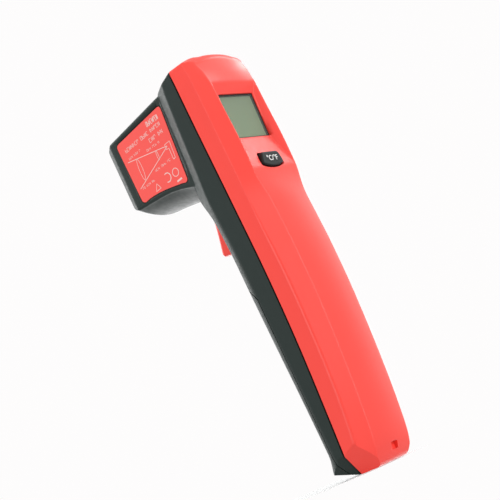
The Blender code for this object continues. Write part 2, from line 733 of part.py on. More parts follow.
def build_optics():
    """Everything on the sighting axis, measured backwards from the snout's front face."""
    bezel = [(13.8, -0.1), (13.8, -1.0), (12.1, -1.0), (12.1, -4.2), (9.8, -4.2), (9.8, -1.4), (11.2, -0.1)]
    turned("nose_bezel", bezel, (0, 0, 0), BLACK, 0.35, parent=OPTICS)
    turned("infrared_lens", [(0.0, -4.4), (11.2, -4.7), (11.2, -5.6), (0.0, -5.6)], (0, 0, 0), MILK, 0.3,
           parent=OPTICS)
    barrel = [(12.3, -5.9), (12.3, -11.0), (10.9, -12.0), (7.6, -33.0), (10.4, -33.0), (10.4, -35.0),
              (5.0, -35.0), (5.0, -31.0), (10.2, -9.0), (10.2, -5.9)]
    turned("lens_barrel", barrel, (0, 0, 0), BLACK, 0.6, parent=OPTICS)
    can = [(0.0, -30.6), (1.9, -30.6), (1.9, -30.9), (4.1, -30.9), (4.1, -34.6), (4.7, -34.6), (4.7, -35.0),
           (0.0, -35.0)]
    turned("thermopile_sensor", can, (0, 0, 0), STEEL, 0.3, 0.9, parent=OPTICS)
    board = block((-10.0, -36.9, -10.0), (10.0, -35.5, 10.0))
    finish_mesh("sensor_board", board, BOARD_GREEN, 0.45, parent=OPTICS)


# --- display and electronics ------------------------------------------------------------------

def build_display():
    inner_floor = SCOOP_FLOOR + WINDOW_SILL
    window = block((-12.6, inner_floor + 0.3, 137.2), (12.6, inner_floor + 1.4, 159.8))
    finish_mesh("lcd_window", window, CLEAR, 0.05)
    panel_front = inner_floor + 1.7
    panel = block((-12.4, panel_front, 137.0), (12.4, panel_front + 1.8, 160.4))
    finish_mesh("lcd_panel", panel, LCD_GREEN, 0.25)
    frame = block((-13.9, panel_front, 135.2), (13.9, BOARD_FRONT - 0.3, 161.8))
    holder = finish_mesh("lcd_frame", frame, WHITE, 0.5)
    cut(holder, finish_mesh("lcd_pocket", block((-12.7, -12.0, 136.7), (12.7, panel_front + 2.1, 160.7))))
    back = block((-11.5, -12.0, 141.0), (11.5, 0.0, 159.0))
    cut(holder, finish_mesh("lcd_frame_opening", back))
    strip_slot = block((-11.0, -12.0, 137.0), (11.0, 0.0, 139.9))
    cut(holder, finish_mesh("strip_opening", strip_slot))
    strip = block((-10.7, panel_front + 2.1, 137.3), (10.7, BOARD_FRONT - 0.3, 139.6))
    finish_mesh("contact_strip", strip, (0.25, 0.26, 0.28, 1.0), 0.6)


def build_main_board():
    back = BOARD_FRONT + BOARD_THICKNESS
    board = block((-BOARD_HALF_WIDTH, BOARD_FRONT, BOARD_BOTTOM), (BOARD_HALF_WIDTH, back, BOARD_TOP))
    part = finish_mesh("main_board", board, BOARD_GREEN, 0.45)
    for i, (x, z) in enumerate(BOARD_SCREWS):
        cut(part, finish_mesh(f"board_hole_{i + 1}", rod((x, -6.0, z), "y", 5.0, 1.25, sides=16)))
        head = [(0.0, 1.5), (1.6, 1.4), (1.9, 0.9), (1.9, 0.0), (0.9, 0.0), (0.9, -4.2), (0.0, -4.8)]
        turned(f"board_screw_{i + 1}", head, (x, back + PART_GAP, z), STEEL, 0.3, 0.9, steps=16)
    seat = back + PART_GAP
    finish_mesh("controller_chip", block((-5.0, seat, 139.0), (5.0, back + 1.8, 149.0)), BLACK, 0.4)
    finish_mesh("memory_chip", block((6.5, seat, 153.0), (11.5, back + 1.8, 157.0)), BLACK, 0.4)
    crystal = block((-12.0, seat, 150.0), (-7.5, back + 1.9, 160.0), 0.6)
    finish_mesh("crystal", crystal, STEEL, 0.25, 0.9)
    capacitor = [(0.0, 4.6), (2.3, 4.6), (2.5, 4.3), (2.5, 0.0), (0.0, 0.0)]
    turned("capacitor", capacitor, (9.2, seat, 114.0), BLACK, 0.4, steps=20)
    for name, z, front in (("trigger_switch", 106.5, False), ("unit_switch", BUTTON_CENTRE, True)):
        low, high = (BOARD_FRONT - 3.8, BOARD_FRONT - PART_GAP) if front else (seat, back + 3.4)
        switch = finish_mesh(name, block((-3.0, low, z - 3.0), (3.0, high, z + 3.0)), BLACK, 0.45)
        tip = low - 0.7 if front else high - 0.5
        join(switch, finish_mesh(f"{name}_plunger", rod((0, tip, z), "y", 1.2, 1.75, sides=16)))


def build_unit_button():
    """Rubber cap with a flange behind the casing and a stem down to its switch."""
    back = SCOOP_FLOOR + 1.2
    cap = prism(button_outline(), "y", BUTTON_FACE, back)
    middle = (BUTTON_TOP + BUTTON_BOTTOM) / 2
    for vert in cap.verts:
        if vert.co.y < BUTTON_FACE + 0.1:
            vert.co.x *= 0.93
            vert.co.z = middle + (vert.co.z - middle) * 0.9
    edges = [edge for edge in cap.edges if all(vert.co.y < BUTTON_FACE + 0.1 for vert in edge.verts)]
    bmesh.ops.bevel(cap, geom=edges, offset=0.4, segments=2, affect="EDGES", profile=0.5)
    button = finish_mesh("unit_button", cap, RUBBER, 0.6)
    flange = block((-8.4, back - 0.6, 122.2), (8.4, back + 0.4, 132.0), 0.3)
    join(button, finish_mesh("button_flange", flange))
    stem_end = BOARD_FRONT - SWITCH_TIP - PART_GAP - BUTTON_TRAVEL
    stem = rod((0, back, BUTTON_CENTRE), "y", stem_end - back, 1.6, sides=16)
    join(button, finish_mesh("button_stem", stem))


# --- trigger ----------------------------------------------------------------------------------

def trigger_outline():
    """Side view of the trigger, round the hub and down the finger face."""
    hub = []
    for step in range(7):
        angle = math.radians(180 - 30 * step)
        hub.append((PIVOT_Y + HUB_RADIUS * math.cos(angle), PIVOT_Z + HUB_RADIUS * math.sin(angle)))
    finger = [(12.0, 124.6), (17.6, 124.4), (18.7, 123.4), (19.1, 120.0), (19.7, 115.5), (20.6, 110.0),
              (21.8, 104.5), (22.2, 102.2), (21.6, 101.0), (17.5, 100.5), (7.2, 100.7)]
    inner = [(5.0, 103.0), (5.0, 110.0), (6.6, 112.0), (6.2, 124.0)]
    return hub + finger + inner


def build_trigger():
    solid = prism(trigger_outline(), "x", -TRIGGER_HALF_WIDTH, TRIGGER_HALF_WIDTH)
    edges = [edge for edge in solid.edges if all(vert.co.y > 17.0 for vert in edge.verts)
             and abs(edge.verts[0].co.x - edge.verts[1].co.x) < 0.1]
    bmesh.ops.bevel(solid, geom=edges, offset=1.0, segments=3, affect="EDGES", profile=0.5)
    bmesh.ops.translate(solid, vec=(0, -PIVOT_Y, -PIVOT_Z), verts=solid.verts)
    trigger = finish_mesh("trigger", solid, RED, 0.42, parent=PIVOT)
    bore = rod((-9.0, 0, 0), "x", 18.0, PIN_RADIUS + PART_GAP, sides=16)
    cut(trigger, finish_mesh("trigger_bore", bore, parent=PIVOT))
    pin = rod((-PIN_HALF_LENGTH, 0, 0), "x", 2 * PIN_HALF_LENGTH, PIN_RADIUS, sides=20)
    finish_mesh("trigger_pin", pin, STEEL, 0.25, 0.95, parent=PIVOT)


def build_trigger_spring():
    """Compression spring between the board and the trigger."""
    start = BOARD_FRONT + BOARD_THICKNESS + 0.6
    end = 5.8
    per_turn = 12
    count = int(SPRING_TURNS * per_turn)
    points = []
    for i in range(count + 1):
        angle = 2 * math.pi * i / per_turn
        along = start + (end - start) * i / count
        across = SPRING_RADIUS * math.cos(angle)
        height = SPRING_HEIGHT + SPRING_RADIUS * math.sin(angle)
        points.append((across, along, height))
    wire("trigger_spring", points, 0.25, STEEL, 0.3, 0.95)


# --- battery and fasteners --------------------------------------------------------------------

def build_battery():
    width, depth, height = BATTERY
    low = (-width / 2, BATTERY_CENTRE_Y - depth / 2, BATTERY_BOTTOM)
    high = (width / 2, BATTERY_CENTRE_Y + depth / 2, BATTERY_BOTTOM + height)
    battery = finish_mesh("battery", block(low, high, 1.6), BLACK, 0.35)
    top = high[2]
    for name, x, radius in (("stud_small", -STUD_X, 2.7), ("stud_large", STUD_X, 3.9)):
        post = rod((x, BATTERY_CENTRE_Y, top - 0.5), "z", 2.9, radius, sides=16)
        join(battery, finish_mesh(name, post))
    snap_low = (-12.6, BATTERY_CENTRE_Y - 6.0, top + 0.3)
    snap_high = (12.6, BATTERY_CENTRE_Y + 6.0, top + 5.0)
    snap = finish_mesh("battery_snap", block(snap_low, snap_high, 0.8), BLACK, 0.55)
    for name, x, radius in (("cup_small", -STUD_X, 3.0), ("cup_large", STUD_X, 4.2)):
        cup = rod((x, BATTERY_CENTRE_Y, top - 1.0), "z", 3.7, radius, sides=16)
        cut(snap, finish_mesh(name, cup))
    lead_top = BOARD_BOTTOM - 0.4
    for name, x, colour in (("battery_lead_red", 3.4, RED), ("battery_lead_black", -3.4, BLACK)):
        stops = ((x, -4.5, top + 5.5), (x * 1.1, -4.2, top + 9.5), (x * 1.8, -7.0, top + 14.0),
                 (x * 1.5, -7.2, top + 19.0), (x, -4.6, top + 25.0), (x, -3.4, lead_top))
        wire(name, route(stops, 24), 0.6, colour)
    pad = block((-9.0, BATTERY_CENTRE_Y + depth / 2 + 1.0, 52.0), (9.0, 5.7, 64.0), 0.3)
    finish_mesh("battery_pad", pad, BLACK, 0.9)


def build_sensor_cable():
    """Flat cable from the sensor board to the main board, as a bent strip."""
    half = 4.0
    thickness = 0.5
    back = BOARD_FRONT + BOARD_THICKNESS + 0.4
    stops = [(back, 132.0), (3.0, 131.4), (6.5, 133.5), (8.6, 138.0), (9.4, 141.4)]
    rings = []
    path_y = smooth_through(*[(i, stop[0]) for i, stop in enumerate(stops)])
    path_z = smooth_through(*[(i, stop[1]) for i, stop in enumerate(stops)])
    for i in range(17):
        t = i * (len(stops) - 1) / 16
        ahead = Vector((path_y(t + 0.01) - path_y(t), path_z(t + 0.01) - path_z(t))).normalized()
        side = Vector((-ahead.y, ahead.x)) * thickness / 2
        y, z = path_y(t), path_z(t)
        rings.append([(-half, y + side.x, z + side.y), (half, y + side.x, z + side.y),
                      (half, y - side.x, z - side.y), (-half, y - side.x, z - side.y)])
    finish_mesh("sensor_cable", loft(rings), WHITE, 0.5)


def build_casing_screws():
    for i, (x, z) in enumerate(UPPER_SCREWS + LOWER_SCREWS):
        boss = SINK_DEPTH if (x, z) in UPPER_SCREWS else LOW_BOSS_HEIGHT
        seat = parting_y(z) + JOINT_GAP + 0.2 + boss + PART_GAP
        length = seat - parting_y(z) + PILOT_DEPTH - 0.4
        profile = [(0.0, 1.9), (SCREW_HEAD - 0.5, 1.7), (SCREW_HEAD, 1.0), (SCREW_HEAD, 0.0),
                   (SCREW_SHANK, 0.0), (SCREW_SHANK, -length + 1.2), (0.0, -length)]
        turned(f"casing_screw_{i + 1}", profile, (x, seat, z), STEEL, 0.3, 0.9, steps=16)


FRONT_LIMIT = min(face_y(z) for z in range(40, 90)) - FACE_CROWN
SNOUT_CREST = snout_side_top(SNOUT_TIP) - SNOUT_RIM_BREAK + SNOUT_TOP_CROWN
BACK_LIMIT = SNOUT_TIP + SNOUT_SLANT * (SNOUT_CREST - OPTICS_HEIGHT)
DATUM = new_empty("assembly_datum", (0, -(FRONT_LIMIT + BACK_LIMIT) / 2, 0))
OPTICS = new_empty("sighting_axis", (0, SNOUT_TIP, OPTICS_HEIGHT), DATUM, -math.atan(SNOUT_SLANT))
PIVOT = new_empty("trigger_pivot", (0, PIVOT_Y, PIVOT_Z), DATUM)

build_front_shell()
build_rear_shell()
build_battery_cover()
build_labels()
build_optics()
build_display()
build_main_board()
build_unit_button()
build_trigger()
build_trigger_spring()
build_battery()
build_sensor_cable()
build_casing_screws()
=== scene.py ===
"""Looks of the stick-shaped infrared thermometer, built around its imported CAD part.

Shapes are worked out in millimetres in the design frame of the CAD (+Z up the handle, -Y towards
the user, Y zero near the joint between the casing halves) and placed in metres at the very end.
"""
import math

import bmesh
import bpy
from mathutils import Matrix, Vector


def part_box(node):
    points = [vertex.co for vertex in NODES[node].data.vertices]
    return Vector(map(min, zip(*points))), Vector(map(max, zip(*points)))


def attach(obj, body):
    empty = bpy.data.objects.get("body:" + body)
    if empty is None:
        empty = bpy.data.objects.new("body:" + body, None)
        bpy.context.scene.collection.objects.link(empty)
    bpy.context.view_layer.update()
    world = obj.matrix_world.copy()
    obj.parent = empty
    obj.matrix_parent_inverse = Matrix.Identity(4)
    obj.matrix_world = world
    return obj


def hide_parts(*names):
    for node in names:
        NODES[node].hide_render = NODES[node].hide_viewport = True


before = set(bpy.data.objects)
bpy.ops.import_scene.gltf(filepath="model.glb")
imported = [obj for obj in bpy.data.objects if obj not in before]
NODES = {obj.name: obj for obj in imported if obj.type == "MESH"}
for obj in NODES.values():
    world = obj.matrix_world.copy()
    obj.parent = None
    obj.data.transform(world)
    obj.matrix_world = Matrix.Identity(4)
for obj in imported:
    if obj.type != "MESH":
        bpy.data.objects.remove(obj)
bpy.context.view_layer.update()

MM = 0.001
SCENE = bpy.context.scene

# --- driving dimensions, the same as the CAD's unless a comment says otherwise -----------------
HEIGHT = 177.4
TOP_ARCH = 2.3
TOP_FILLET_SIDE = 0.8
TOP_FILLET_FRONT = 4.2
TOP_CORNER_DROP = 1.3
TOP_SLOPE = 0.37
INNER_TOP = 171.0     # the CAD's own is 171.4
JOINT_GAP = 0.3
HALF_WIDTH_BASE = 18.1
HALF_WIDTH_HEAD = 19.0
FACE_HALF_WIDTH = 11.8
RIM_HALF_WIDTH = 14.2
BROW_HALF_WIDTH = 15.6
BROW_RECESS = 2.2
FACE_CROWN = 0.7
BACK_ROUNDING = 6.0
HEAD_BLEND = (113.0, 127.0)
SHOULDER_DEPTH = 8.5
TOE_DEPTH = 12.6
HEEL_START = -3.6
HEEL_NORMAL = (0.0, 0.395, -0.919)
HEEL_CORNER = (0.0, 7.0, 4.7)
HEEL_CORNER_NORMAL = (0.0, 0.78, -0.62)
FOOT_FLARE = 1.9
FOOT_TOP = 11.0
SNOUT_TIP = 49.3
SNOUT_RIM = 46.4
SNOUT_HALF_WIDTH = 17.0
SNOUT_TAPER = 0.0114
SNOUT_SLANT = 0.05
OPTICS_HEIGHT = 149.0
SCOOP_TOP = 163.2
SCOOP_BOTTOM = 124.3
SCOOP_FLOOR = -12.0
WINDOW_HALF_WIDTH = 11.0
WINDOW_TOP = 158.2
WINDOW_BOTTOM = 138.8
WINDOW_SILL = 1.8
BUTTON_TOP = 130.6
BUTTON_BOTTOM = 125.4
BUTTON_SAG = 1.6
BUTTON_HALF_TOP = 5.6
BUTTON_HALF_BOTTOM = 7.2
BUTTON_FACE = -16.3
PIVOT_Y = 9.0
PIVOT_Z = 128.5
TRIGGER_HALF_WIDTH = 6.2
SPRING_HEIGHT = 116.5
SLOT_TOP = 125.6      # of the trigger's slot
SLOT_BOTTOM = 98.6
CORD_SLOT = ((-1.9, 3.8), (2.5, 6.8))
UPPER_SCREWS = ((-9.8, 89.0), (9.8, 89.0))
COVER_SEAM = ((6.6, 81.4), (4.2, 77.4), (1.3, 10.3), (-0.9, 0.4), (-1.2, -2.0))

# --- sizes that only the looks have, or that the CAD states in another way ---------------------
SHOULDER = (110.0, 124.0)
CHAMFER_BASE = 12.0
CHAMFER_NORMAL = (1.0, -0.28, -0.723)
TOE_SLOPE = 0.706
TOE_BREAK = 1.5
SNOUT_CROWN = 1.8
SNOUT_START = 12.0
SNOUT_CORNER = 1.3
PANE_HALF_WIDTH = 10.75
PANE_GAP = 0.25
STEM_END = -9.6
SCREW_SINK_RADIUS = 2.75
SCREW_SINK_DEPTH = 3.4
LABEL_CORNER = 1.8
COVER_GROOVES = 5
TRIGGER_GROOVES = 4
KEY_PRINT_SIZE = 3.1
SKIN = 1.0            # how deep the finely shaped outer layer of the casing goes
SEAM = 0.16           # how far each casing stands back from the seam
LIP = 0.10            # how far the edges along the seam are broken
DATUM_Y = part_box("unit_button")[0].y / MM - BUTTON_FACE


# --- the curves that the casing follows -------------------------------------------------------

def smooth_through(*points):
    """A smooth function through (place, value) points."""
    places = [p[0] for p in points]
    values = [p[1] for p in points]
    last = len(points) - 1

    def slope(i):
        low = max(i - 1, 0)
        high = min(i + 1, last)
        return (values[high] - values[low]) / (places[high] - places[low])

    def value_at(place):
        i = 0
        while i < last - 1 and place > places[i + 1]:
            i += 1
        span = places[i + 1] - places[i]
        t = (place - places[i]) / span
        start = (1 + 2 * t) * (1 - t) ** 2 * values[i] + t * (1 - t) ** 2 * span * slope(i)
        end = t * t * (3 - 2 * t) * values[i + 1] + t * t * (t - 1) * span * slope(i + 1)
        return start + end

    return value_at


def blend(low, high, value):
    t = min(max((value - low) / (high - low), 0.0), 1.0)
    return t * t * (3 - 2 * t)


def mix(a, b, share):
    return a + (b - a) * share


def smooth_min(a, b, k):
    h = max(k - abs(a - b), 0.0) / k
    return min(a, b) - h * h * k / 4


def smooth_max(a, b, k):
    return -smooth_min(-a, -b, k)


parting_y = smooth_through(
    (0, -3.9), (25, -4.7), (55, -5.25), (85, -4.7), (115, -3.1), (145, -1.3), (177, 0.4))
ridge_y = smooth_through(
    (0, -9.6), (8, -10.5), (16, -11.5), (28, -12.7), (45, -13.5), (62, -13.6), (76, -13.4),
    (88, -12.9), (100, -12.0), (112, -11.4), (125, -10.7), (142, -9.9), (156, -9.2), (168, -8.4),
    (177, -7.4))
face_y = smooth_through(
    (0, -14.0), (12, -15.65), (20, -16.45), (30, -17.2), (50, -18.1), (70, -18.4), (90, -17.8),
    (100, -17.1), (110, -16.3), (118, -15.8), (126, -15.8), (138, -15.4), (150, -14.4),
    (163, -13.5), (177, -13.0))
rear_edge_y = smooth_through(
    (0, -0.9), (18, -0.1), (35, 0.8), (56, 2.1), (78, 3.4), (98, 4.4), (107, 5.2), (114, 6.0),
    (124, 7.5), (135, 7.3), (159, 6.9), (177, 6.2))
snout_side_bottom = smooth_through((8, 127.6), (12, 129.5), (20, 132.0), (28, 133.4), (48, 134.3))
snout_middle_bottom = smooth_through((8, 124.6), (15, 125.6), (28, 128.1), (40, 129.9), (48, 130.8))


def snout_side_top(y):
    return 170.9 - 0.147 * (y - 11.0)


def half_width(z):
    return HALF_WIDTH_BASE + (HALF_WIDTH_HEAD - HALF_WIDTH_BASE) * min(z / 160.0, 1.0)


def brow(z):
    return blend(SCOOP_TOP - 2.0, HEIGHT - 1.0, z)


def face_half_width(z):
    shoulder = (RIM_HALF_WIDTH - FACE_HALF_WIDTH) * blend(*SHOULDER, z)
    return FACE_HALF_WIDTH + shoulder + (BROW_HALF_WIDTH - RIM_HALF_WIDTH) * brow(z)


def scoop_floor(z):
    """Depth of the scoop's floor, ramp and upper wall, rounded where they meet."""
    ramp = mix(face_y(SCOOP_BOTTOM), SCOOP_FLOOR, (z - SCOOP_BOTTOM) / (WINDOW_BOTTOM - SCOOP_BOTTOM))
    wall = mix(SCOOP_FLOOR, face_y(SCOOP_TOP), (z - WINDOW_TOP) / (SCOOP_TOP - WINDOW_TOP))
    return smooth_min(smooth_min(ramp, SCOOP_FLOOR, 0.25), wall, 0.35)


WALL_SLOPE = (RIM_HALF_WIDTH - 0.7 - WINDOW_HALF_WIDTH) / (SCOOP_FLOOR - face_y(148.0))


def face_surface(x, z):
    """Depth of the casing's face, with the scoop in it."""
    share = min(abs(x) / face_half_width(z), 1.0)
    crown = FACE_CROWN * (1.0 - blend(*SHOULDER, z))
    face = face_y(z) + BROW_RECESS * brow(z) * share ** 2 - crown * (1 - share ** 2)
    face = smooth_max(face, -TOE_DEPTH - TOE_SLOPE * z, 4.2)
    face = smooth_max(face, -TOE_DEPTH + TOE_BREAK - 2.4 * z, 1.6)
    side = face_y(z) + (face_half_width(z) - 0.4 - abs(x)) * WALL_SLOPE
    return smooth_max(face, smooth_min(scoop_floor(z), side, 0.3), 0.3)


def rounded(corners, cuts, steps):
    """A polyline with each inner corner replaced by a curve that starts a cut away from it."""
    points = [corners[0]]
    for before, corner, after, cut in zip(corners, corners[1:], corners[2:], cuts):
        here = Vector(corner)
        back = Vector(before) - here
        ahead = Vector(after) - here
        back *= min(cut / back.length, 0.48)
        ahead *= min(cut / ahead.length, 0.48)
        for i in range(steps + 1):
            share = i / steps
            points.append(tuple(here + back * (1 - share) ** 2 + ahead * share ** 2))
    points.append(corners[-1])
    return points


def front_ring(z):
    """Whole outline of the red casing at a height, from the left seam round to the right one."""
    side = half_width(z)
    joint = parting_y(z) - SEAM
    edge = face_half_width(z)
    head = blend(SCOOP_BOTTOM - 6.0, SCOOP_BOTTOM, z) * (1.0 - blend(SCOOP_TOP, SCOOP_TOP + 5.0, z))
    cut = mix(mix(0.36, 2.4, blend(SCOOP_TOP, SCOOP_TOP + 6.0, z)), 0.24, head)
    corners = [(side - LIP, joint), (side, joint - LIP), (side, ridge_y(z)), (edge, face_surface(edge, z)),
               (edge - 0.8, face_surface(edge - 0.8, z))]
    half = [corners[0]] + rounded(corners[1:], (mix(1.1, 0.32, blend(85, 122, z)), cut), 5)[:-1]
    floor = max(scoop_floor(z), face_y(z) + 0.6)
    corner = edge - 0.4 - (floor - face_y(z)) / WALL_SLOPE
    start = half[-1][0]
    places = [mix(start, edge - 0.4, 0.5), edge - 0.42, edge - 0.55, edge - 0.75]
    places += [mix(edge - 0.75, corner + 0.3, 0.5), corner + 0.25, corner + 0.1, corner - 0.05, corner - 0.25]
    places += [corner * share for share in (0.8, 0.6, 0.4, 0.2, 0.0)]
    half += [(x, face_surface(x, z)) for x in places]
    return mirror(half)


HEAD_CORNERS = [(0.0, -1.6), (0.0, 0.0), (2.4, 5.4), (3.4, 6.8), (4.9, 7.6), (6.9, 8.0), (9.5, 8.1)]
HEAD_PROFILE = rounded(HEAD_CORNERS, (0.7, 0.9, 0.8, 0.8, 0.9), 3)[1:-1]


def rear_ring(z, flare=0.0):
    """Whole outline of the grey casing at a height."""
    side = half_width(z)
    edge = rear_edge_y(z)
    joint = parting_y(z) + JOINT_GAP + SEAM
    headness = blend(*HEAD_BLEND, z)
    half = [(side - LIP, joint), (side, joint + LIP)]
    last = len(HEAD_PROFILE) - 1
    for i, (head_x, head_y) in enumerate(HEAD_PROFILE):
        angle = math.radians(90.0 * i / last)
        round_x = BACK_ROUNDING * (1 - math.cos(angle))
        round_y = BACK_ROUNDING * math.sin(angle)
        lift = flare if round_y > 0.5 else 0.0
        half.append((side - mix(round_x, head_x, headness), edge + lift + mix(round_y, head_y, headness)))
    back_x, back_y = half[-1]
    half += [(back_x * share, back_y + 0.3 * (1 - share)) for share in (0.66, 0.33, 0.0)]
    return mirror(half)


def mirror(half):
    return [(-x, y) for x, y in half] + [(x, y) for x, y in reversed(half[:-1])]


def top_point(x, y, reach):
    """A point of the head's outline drawn in towards its middle, on the arched and rounded top."""
    forward = blend(-ridge_y(HEIGHT), -face_y(HEIGHT), -y)
    radius = mix(TOP_FILLET_SIDE, TOP_FILLET_FRONT, forward)
    left = max(radius - (1.0 - reach) * max(abs(x), abs(y)), 0.0)
    rounding = radius - math.sqrt(radius * radius - left * left)
    corner = forward * min(abs(x) / RIM_HALF_WIDTH, 1.0) ** 4 * left / radius
    arch = TOP_ARCH * abs(x * reach / HALF_WIDTH_HEAD) ** 3
    slope = TOP_SLOPE * max(y * reach - parting_y(HEIGHT), 0.0)
    return (x * reach, y * reach, HEIGHT - arch - rounding - slope - TOP_CORNER_DROP * corner)


TOP_REACHES = (1.0, 0.996, 0.99, 0.98, 0.965, 0.945, 0.92, 0.89, 0.85, 0.8, 0.73, 0.64, 0.53, 0.4, 0.25, 0.12)


# --- meshes -----------------------------------------------------------------------------------

def loft(rings):
    bm = bmesh.new()
    rows = [[bm.verts.new(point) for point in ring] for ring in rings]
    for low, high in zip(rows, rows[1:]):
        for i in range(len(low)):
            j = (i + 1) % len(low)
            bm.faces.new((low[i], low[j], high[j], high[i]))
    bm.faces.new(list(reversed(rows[0])))
    bm.faces.new(rows[-1])
    return bm


def slice_off(bm, point, normal):
    everything = bm.verts[:] + bm.edges[:] + bm.faces[:]
    result = bmesh.ops.bisect_plane(bm, geom=everything, plane_co=point, plane_no=normal, clear_outer=True)
    edges = [item for item in result["geom_cut"] if isinstance(item, bmesh.types.BMEdge)]
    bmesh.ops.edgeloop_fill(bm, edges=edges)


def slice_corners(bm, inset=0.0):
    """The two sloping planes at the bottom corners."""
    for side in (-1, 1):
        normal = Vector((side * CHAMFER_NORMAL[0], CHAMFER_NORMAL[1], CHAMFER_NORMAL[2]))
        slice_off(bm, Vector((side * CHAMFER_BASE, -4.0, 0.0)) - normal.normalized() * inset, normal)


def prism(outline, axis, low, high):
    bm = bmesh.new()
    place = {"x": lambda a, b: (low, a, b), "y": lambda a, b: (a, low, b),
             "z": lambda a, b: (a, b, low)}[axis]
    face = bm.faces.new([bm.verts.new(place(a, b)) for a, b in outline])
    pushed = bmesh.ops.extrude_face_region(bm, geom=[face])
    verts = [item for item in pushed["geom"] if isinstance(item, bmesh.types.BMVert)]
    step = Vector([high - low if letter == axis else 0.0 for letter in "xyz"])
    bmesh.ops.translate(bm, vec=step, verts=verts)
    return bm


def block(low, high, rounding=0.0, segments=3):
    bm = bmesh.new()
    size = [b - a for a, b in zip(low, high)]
    middle = [(a + b) / 2 for a, b in zip(low, high)]
    bmesh.ops.create_cube(bm, size=1.0, matrix=Matrix.Translation(middle) @ Matrix.Diagonal((*size, 1.0)))
    if rounding:
        bmesh.ops.bevel(bm, geom=bm.edges[:], offset=rounding, segments=segments, affect="EDGES", profile=0.5)
    return bm


def rod(start, axis, length, radius, sides=32):
    turn = {"x": Matrix.Rotation(math.radians(90), 4, "Y"), "y": Matrix.Rotation(math.radians(-90), 4, "X"),
            "z": Matrix.Identity(4)}[axis]
    bm = bmesh.new()
    matrix = Matrix.Translation(Vector(start)) @ turn @ Matrix.Translation((0, 0, length / 2))
    bmesh.ops.create_cone(bm, cap_ends=True, segments=sides, radius1=radius, radius2=radius, depth=length,
                          matrix=matrix)
    return bm


def spun(profile, turns=96):
    """A closed shape turned about the sighting axis from (radius, distance along +Y) points."""
    bm = bmesh.new()
    rows = []
    for radius, along in profile:
        if radius < 1e-6:
            rows.append([bm.verts.new((0, along, 0))])
            continue
        rows.append([bm.verts.new((radius * math.cos(2 * math.pi * i / turns), along,
                                   radius * math.sin(2 * math.pi * i / turns))) for i in range(turns)])
    pairs = list(zip(rows, rows[1:]))
    if len(rows[0]) > 1:
        pairs.append((rows[-1], rows[0]))
    for low, high in pairs:
        for i in range(turns):
            j = (i + 1) % turns
            ring = [low[i % len(low)], low[j % len(low)], high[j % len(high)], high[i % len(high)]]
            unique = []
            for vert in ring:
                if vert not in unique:
                    unique.append(vert)
            if len(unique) > 2:
                bm.faces.new(unique)
    return bm


OPTICS = Matrix.Translation((0, SNOUT_TIP, OPTICS_HEIGHT)) @ Matrix.Rotation(-math.atan(SNOUT_SLANT), 4, "X")


def to_object(name, bm, matrix=None):
    """A bmesh in design millimetres as an object in the row frame, in metres."""
    place = Matrix.Scale(MM, 4) @ Matrix.Translation((0, DATUM_Y, 0))
    if matrix is not None:
        place = place @ matrix
    bmesh.ops.transform(bm, matrix=place, verts=bm.verts)
    bmesh.ops.recalc_face_normals(bm, faces=bm.faces)
    mesh = bpy.data.meshes.new(name)
    bm.to_mesh(mesh)
    bm.free()
    made = bpy.data.objects.new(name, mesh)
    SCENE.collection.objects.link(made)
    return made


def tool(bm, matrix=None):
    """A passing object, to cut or join another with."""
    return to_object("tool", bm, matrix)


def settle(made):
    """Make what an object's modifiers do to it its own mesh."""
    graph = bpy.context.evaluated_depsgraph_get()
    graph.update()
    mesh = bpy.data.meshes.new_from_object(made.evaluated_get(graph))
    made.modifiers.clear()
    made.data = mesh
    return made


def combine(made, operation, *others):
    """Cut or join one object with others, which are used up."""
    for other in others:
        step = made.modifiers.new("step", "BOOLEAN")
        step.operation = operation
        step.solver = "EXACT"
        step.object = other
        settle(made)
        bpy.data.objects.remove(other, do_unlink=True)
    return made


def cad_copy(node):
    """A welded copy of a CAD node's mesh, for the hidden ribs and bosses inside a casing."""
    bm = bmesh.new()
    bm.from_mesh(NODES[node].data)
    bmesh.ops.remove_doubles(bm, verts=bm.verts, dist=1e-7)
    mesh = bpy.data.meshes.new(node + "_copy")
    bm.to_mesh(mesh)
    bm.free()
    made = bpy.data.objects.new(node + "_copy", mesh)
    SCENE.collection.objects.link(made)
    return made


def finish(made, body, material, replaced=(), smooth=32.0, weighted=True):
    """Shading, finish and body of a piece."""
    bm = bmesh.new()
    bm.from_mesh(made.data)
    bmesh.ops.remove_doubles(bm, verts=bm.verts, dist=2e-7)
    bmesh.ops.dissolve_degenerate(bm, edges=bm.edges, dist=1e-7)
    bm.to_mesh(made.data)
    bm.free()
    made.data.materials.clear()
    made.data.materials.append(material)
    made.data.shade_smooth()
    made.data.set_sharp_from_angle(angle=math.radians(smooth))
    if weighted:
        step = made.modifiers.new("even_shading", "WEIGHTED_NORMAL")
        step.keep_sharp = True
        step.weight = 60
    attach(made, body)
    if replaced:
        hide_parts(*replaced)
    return made


# --- finishes ---------------------------------------------------------------------------------

def add_node(tree, kind, inputs=None, **settings):
    """A node with its settings and its inputs, each of them a socket or a value."""
    made = tree.nodes.new(kind)
    for key, value in settings.items():
        setattr(made, key, value)
    for key, value in (inputs or {}).items():
        socket = made.inputs[key]
        if isinstance(value, bpy.types.NodeSocket):
            tree.links.new(value, socket)
        else:
            socket.default_value = value
    return made


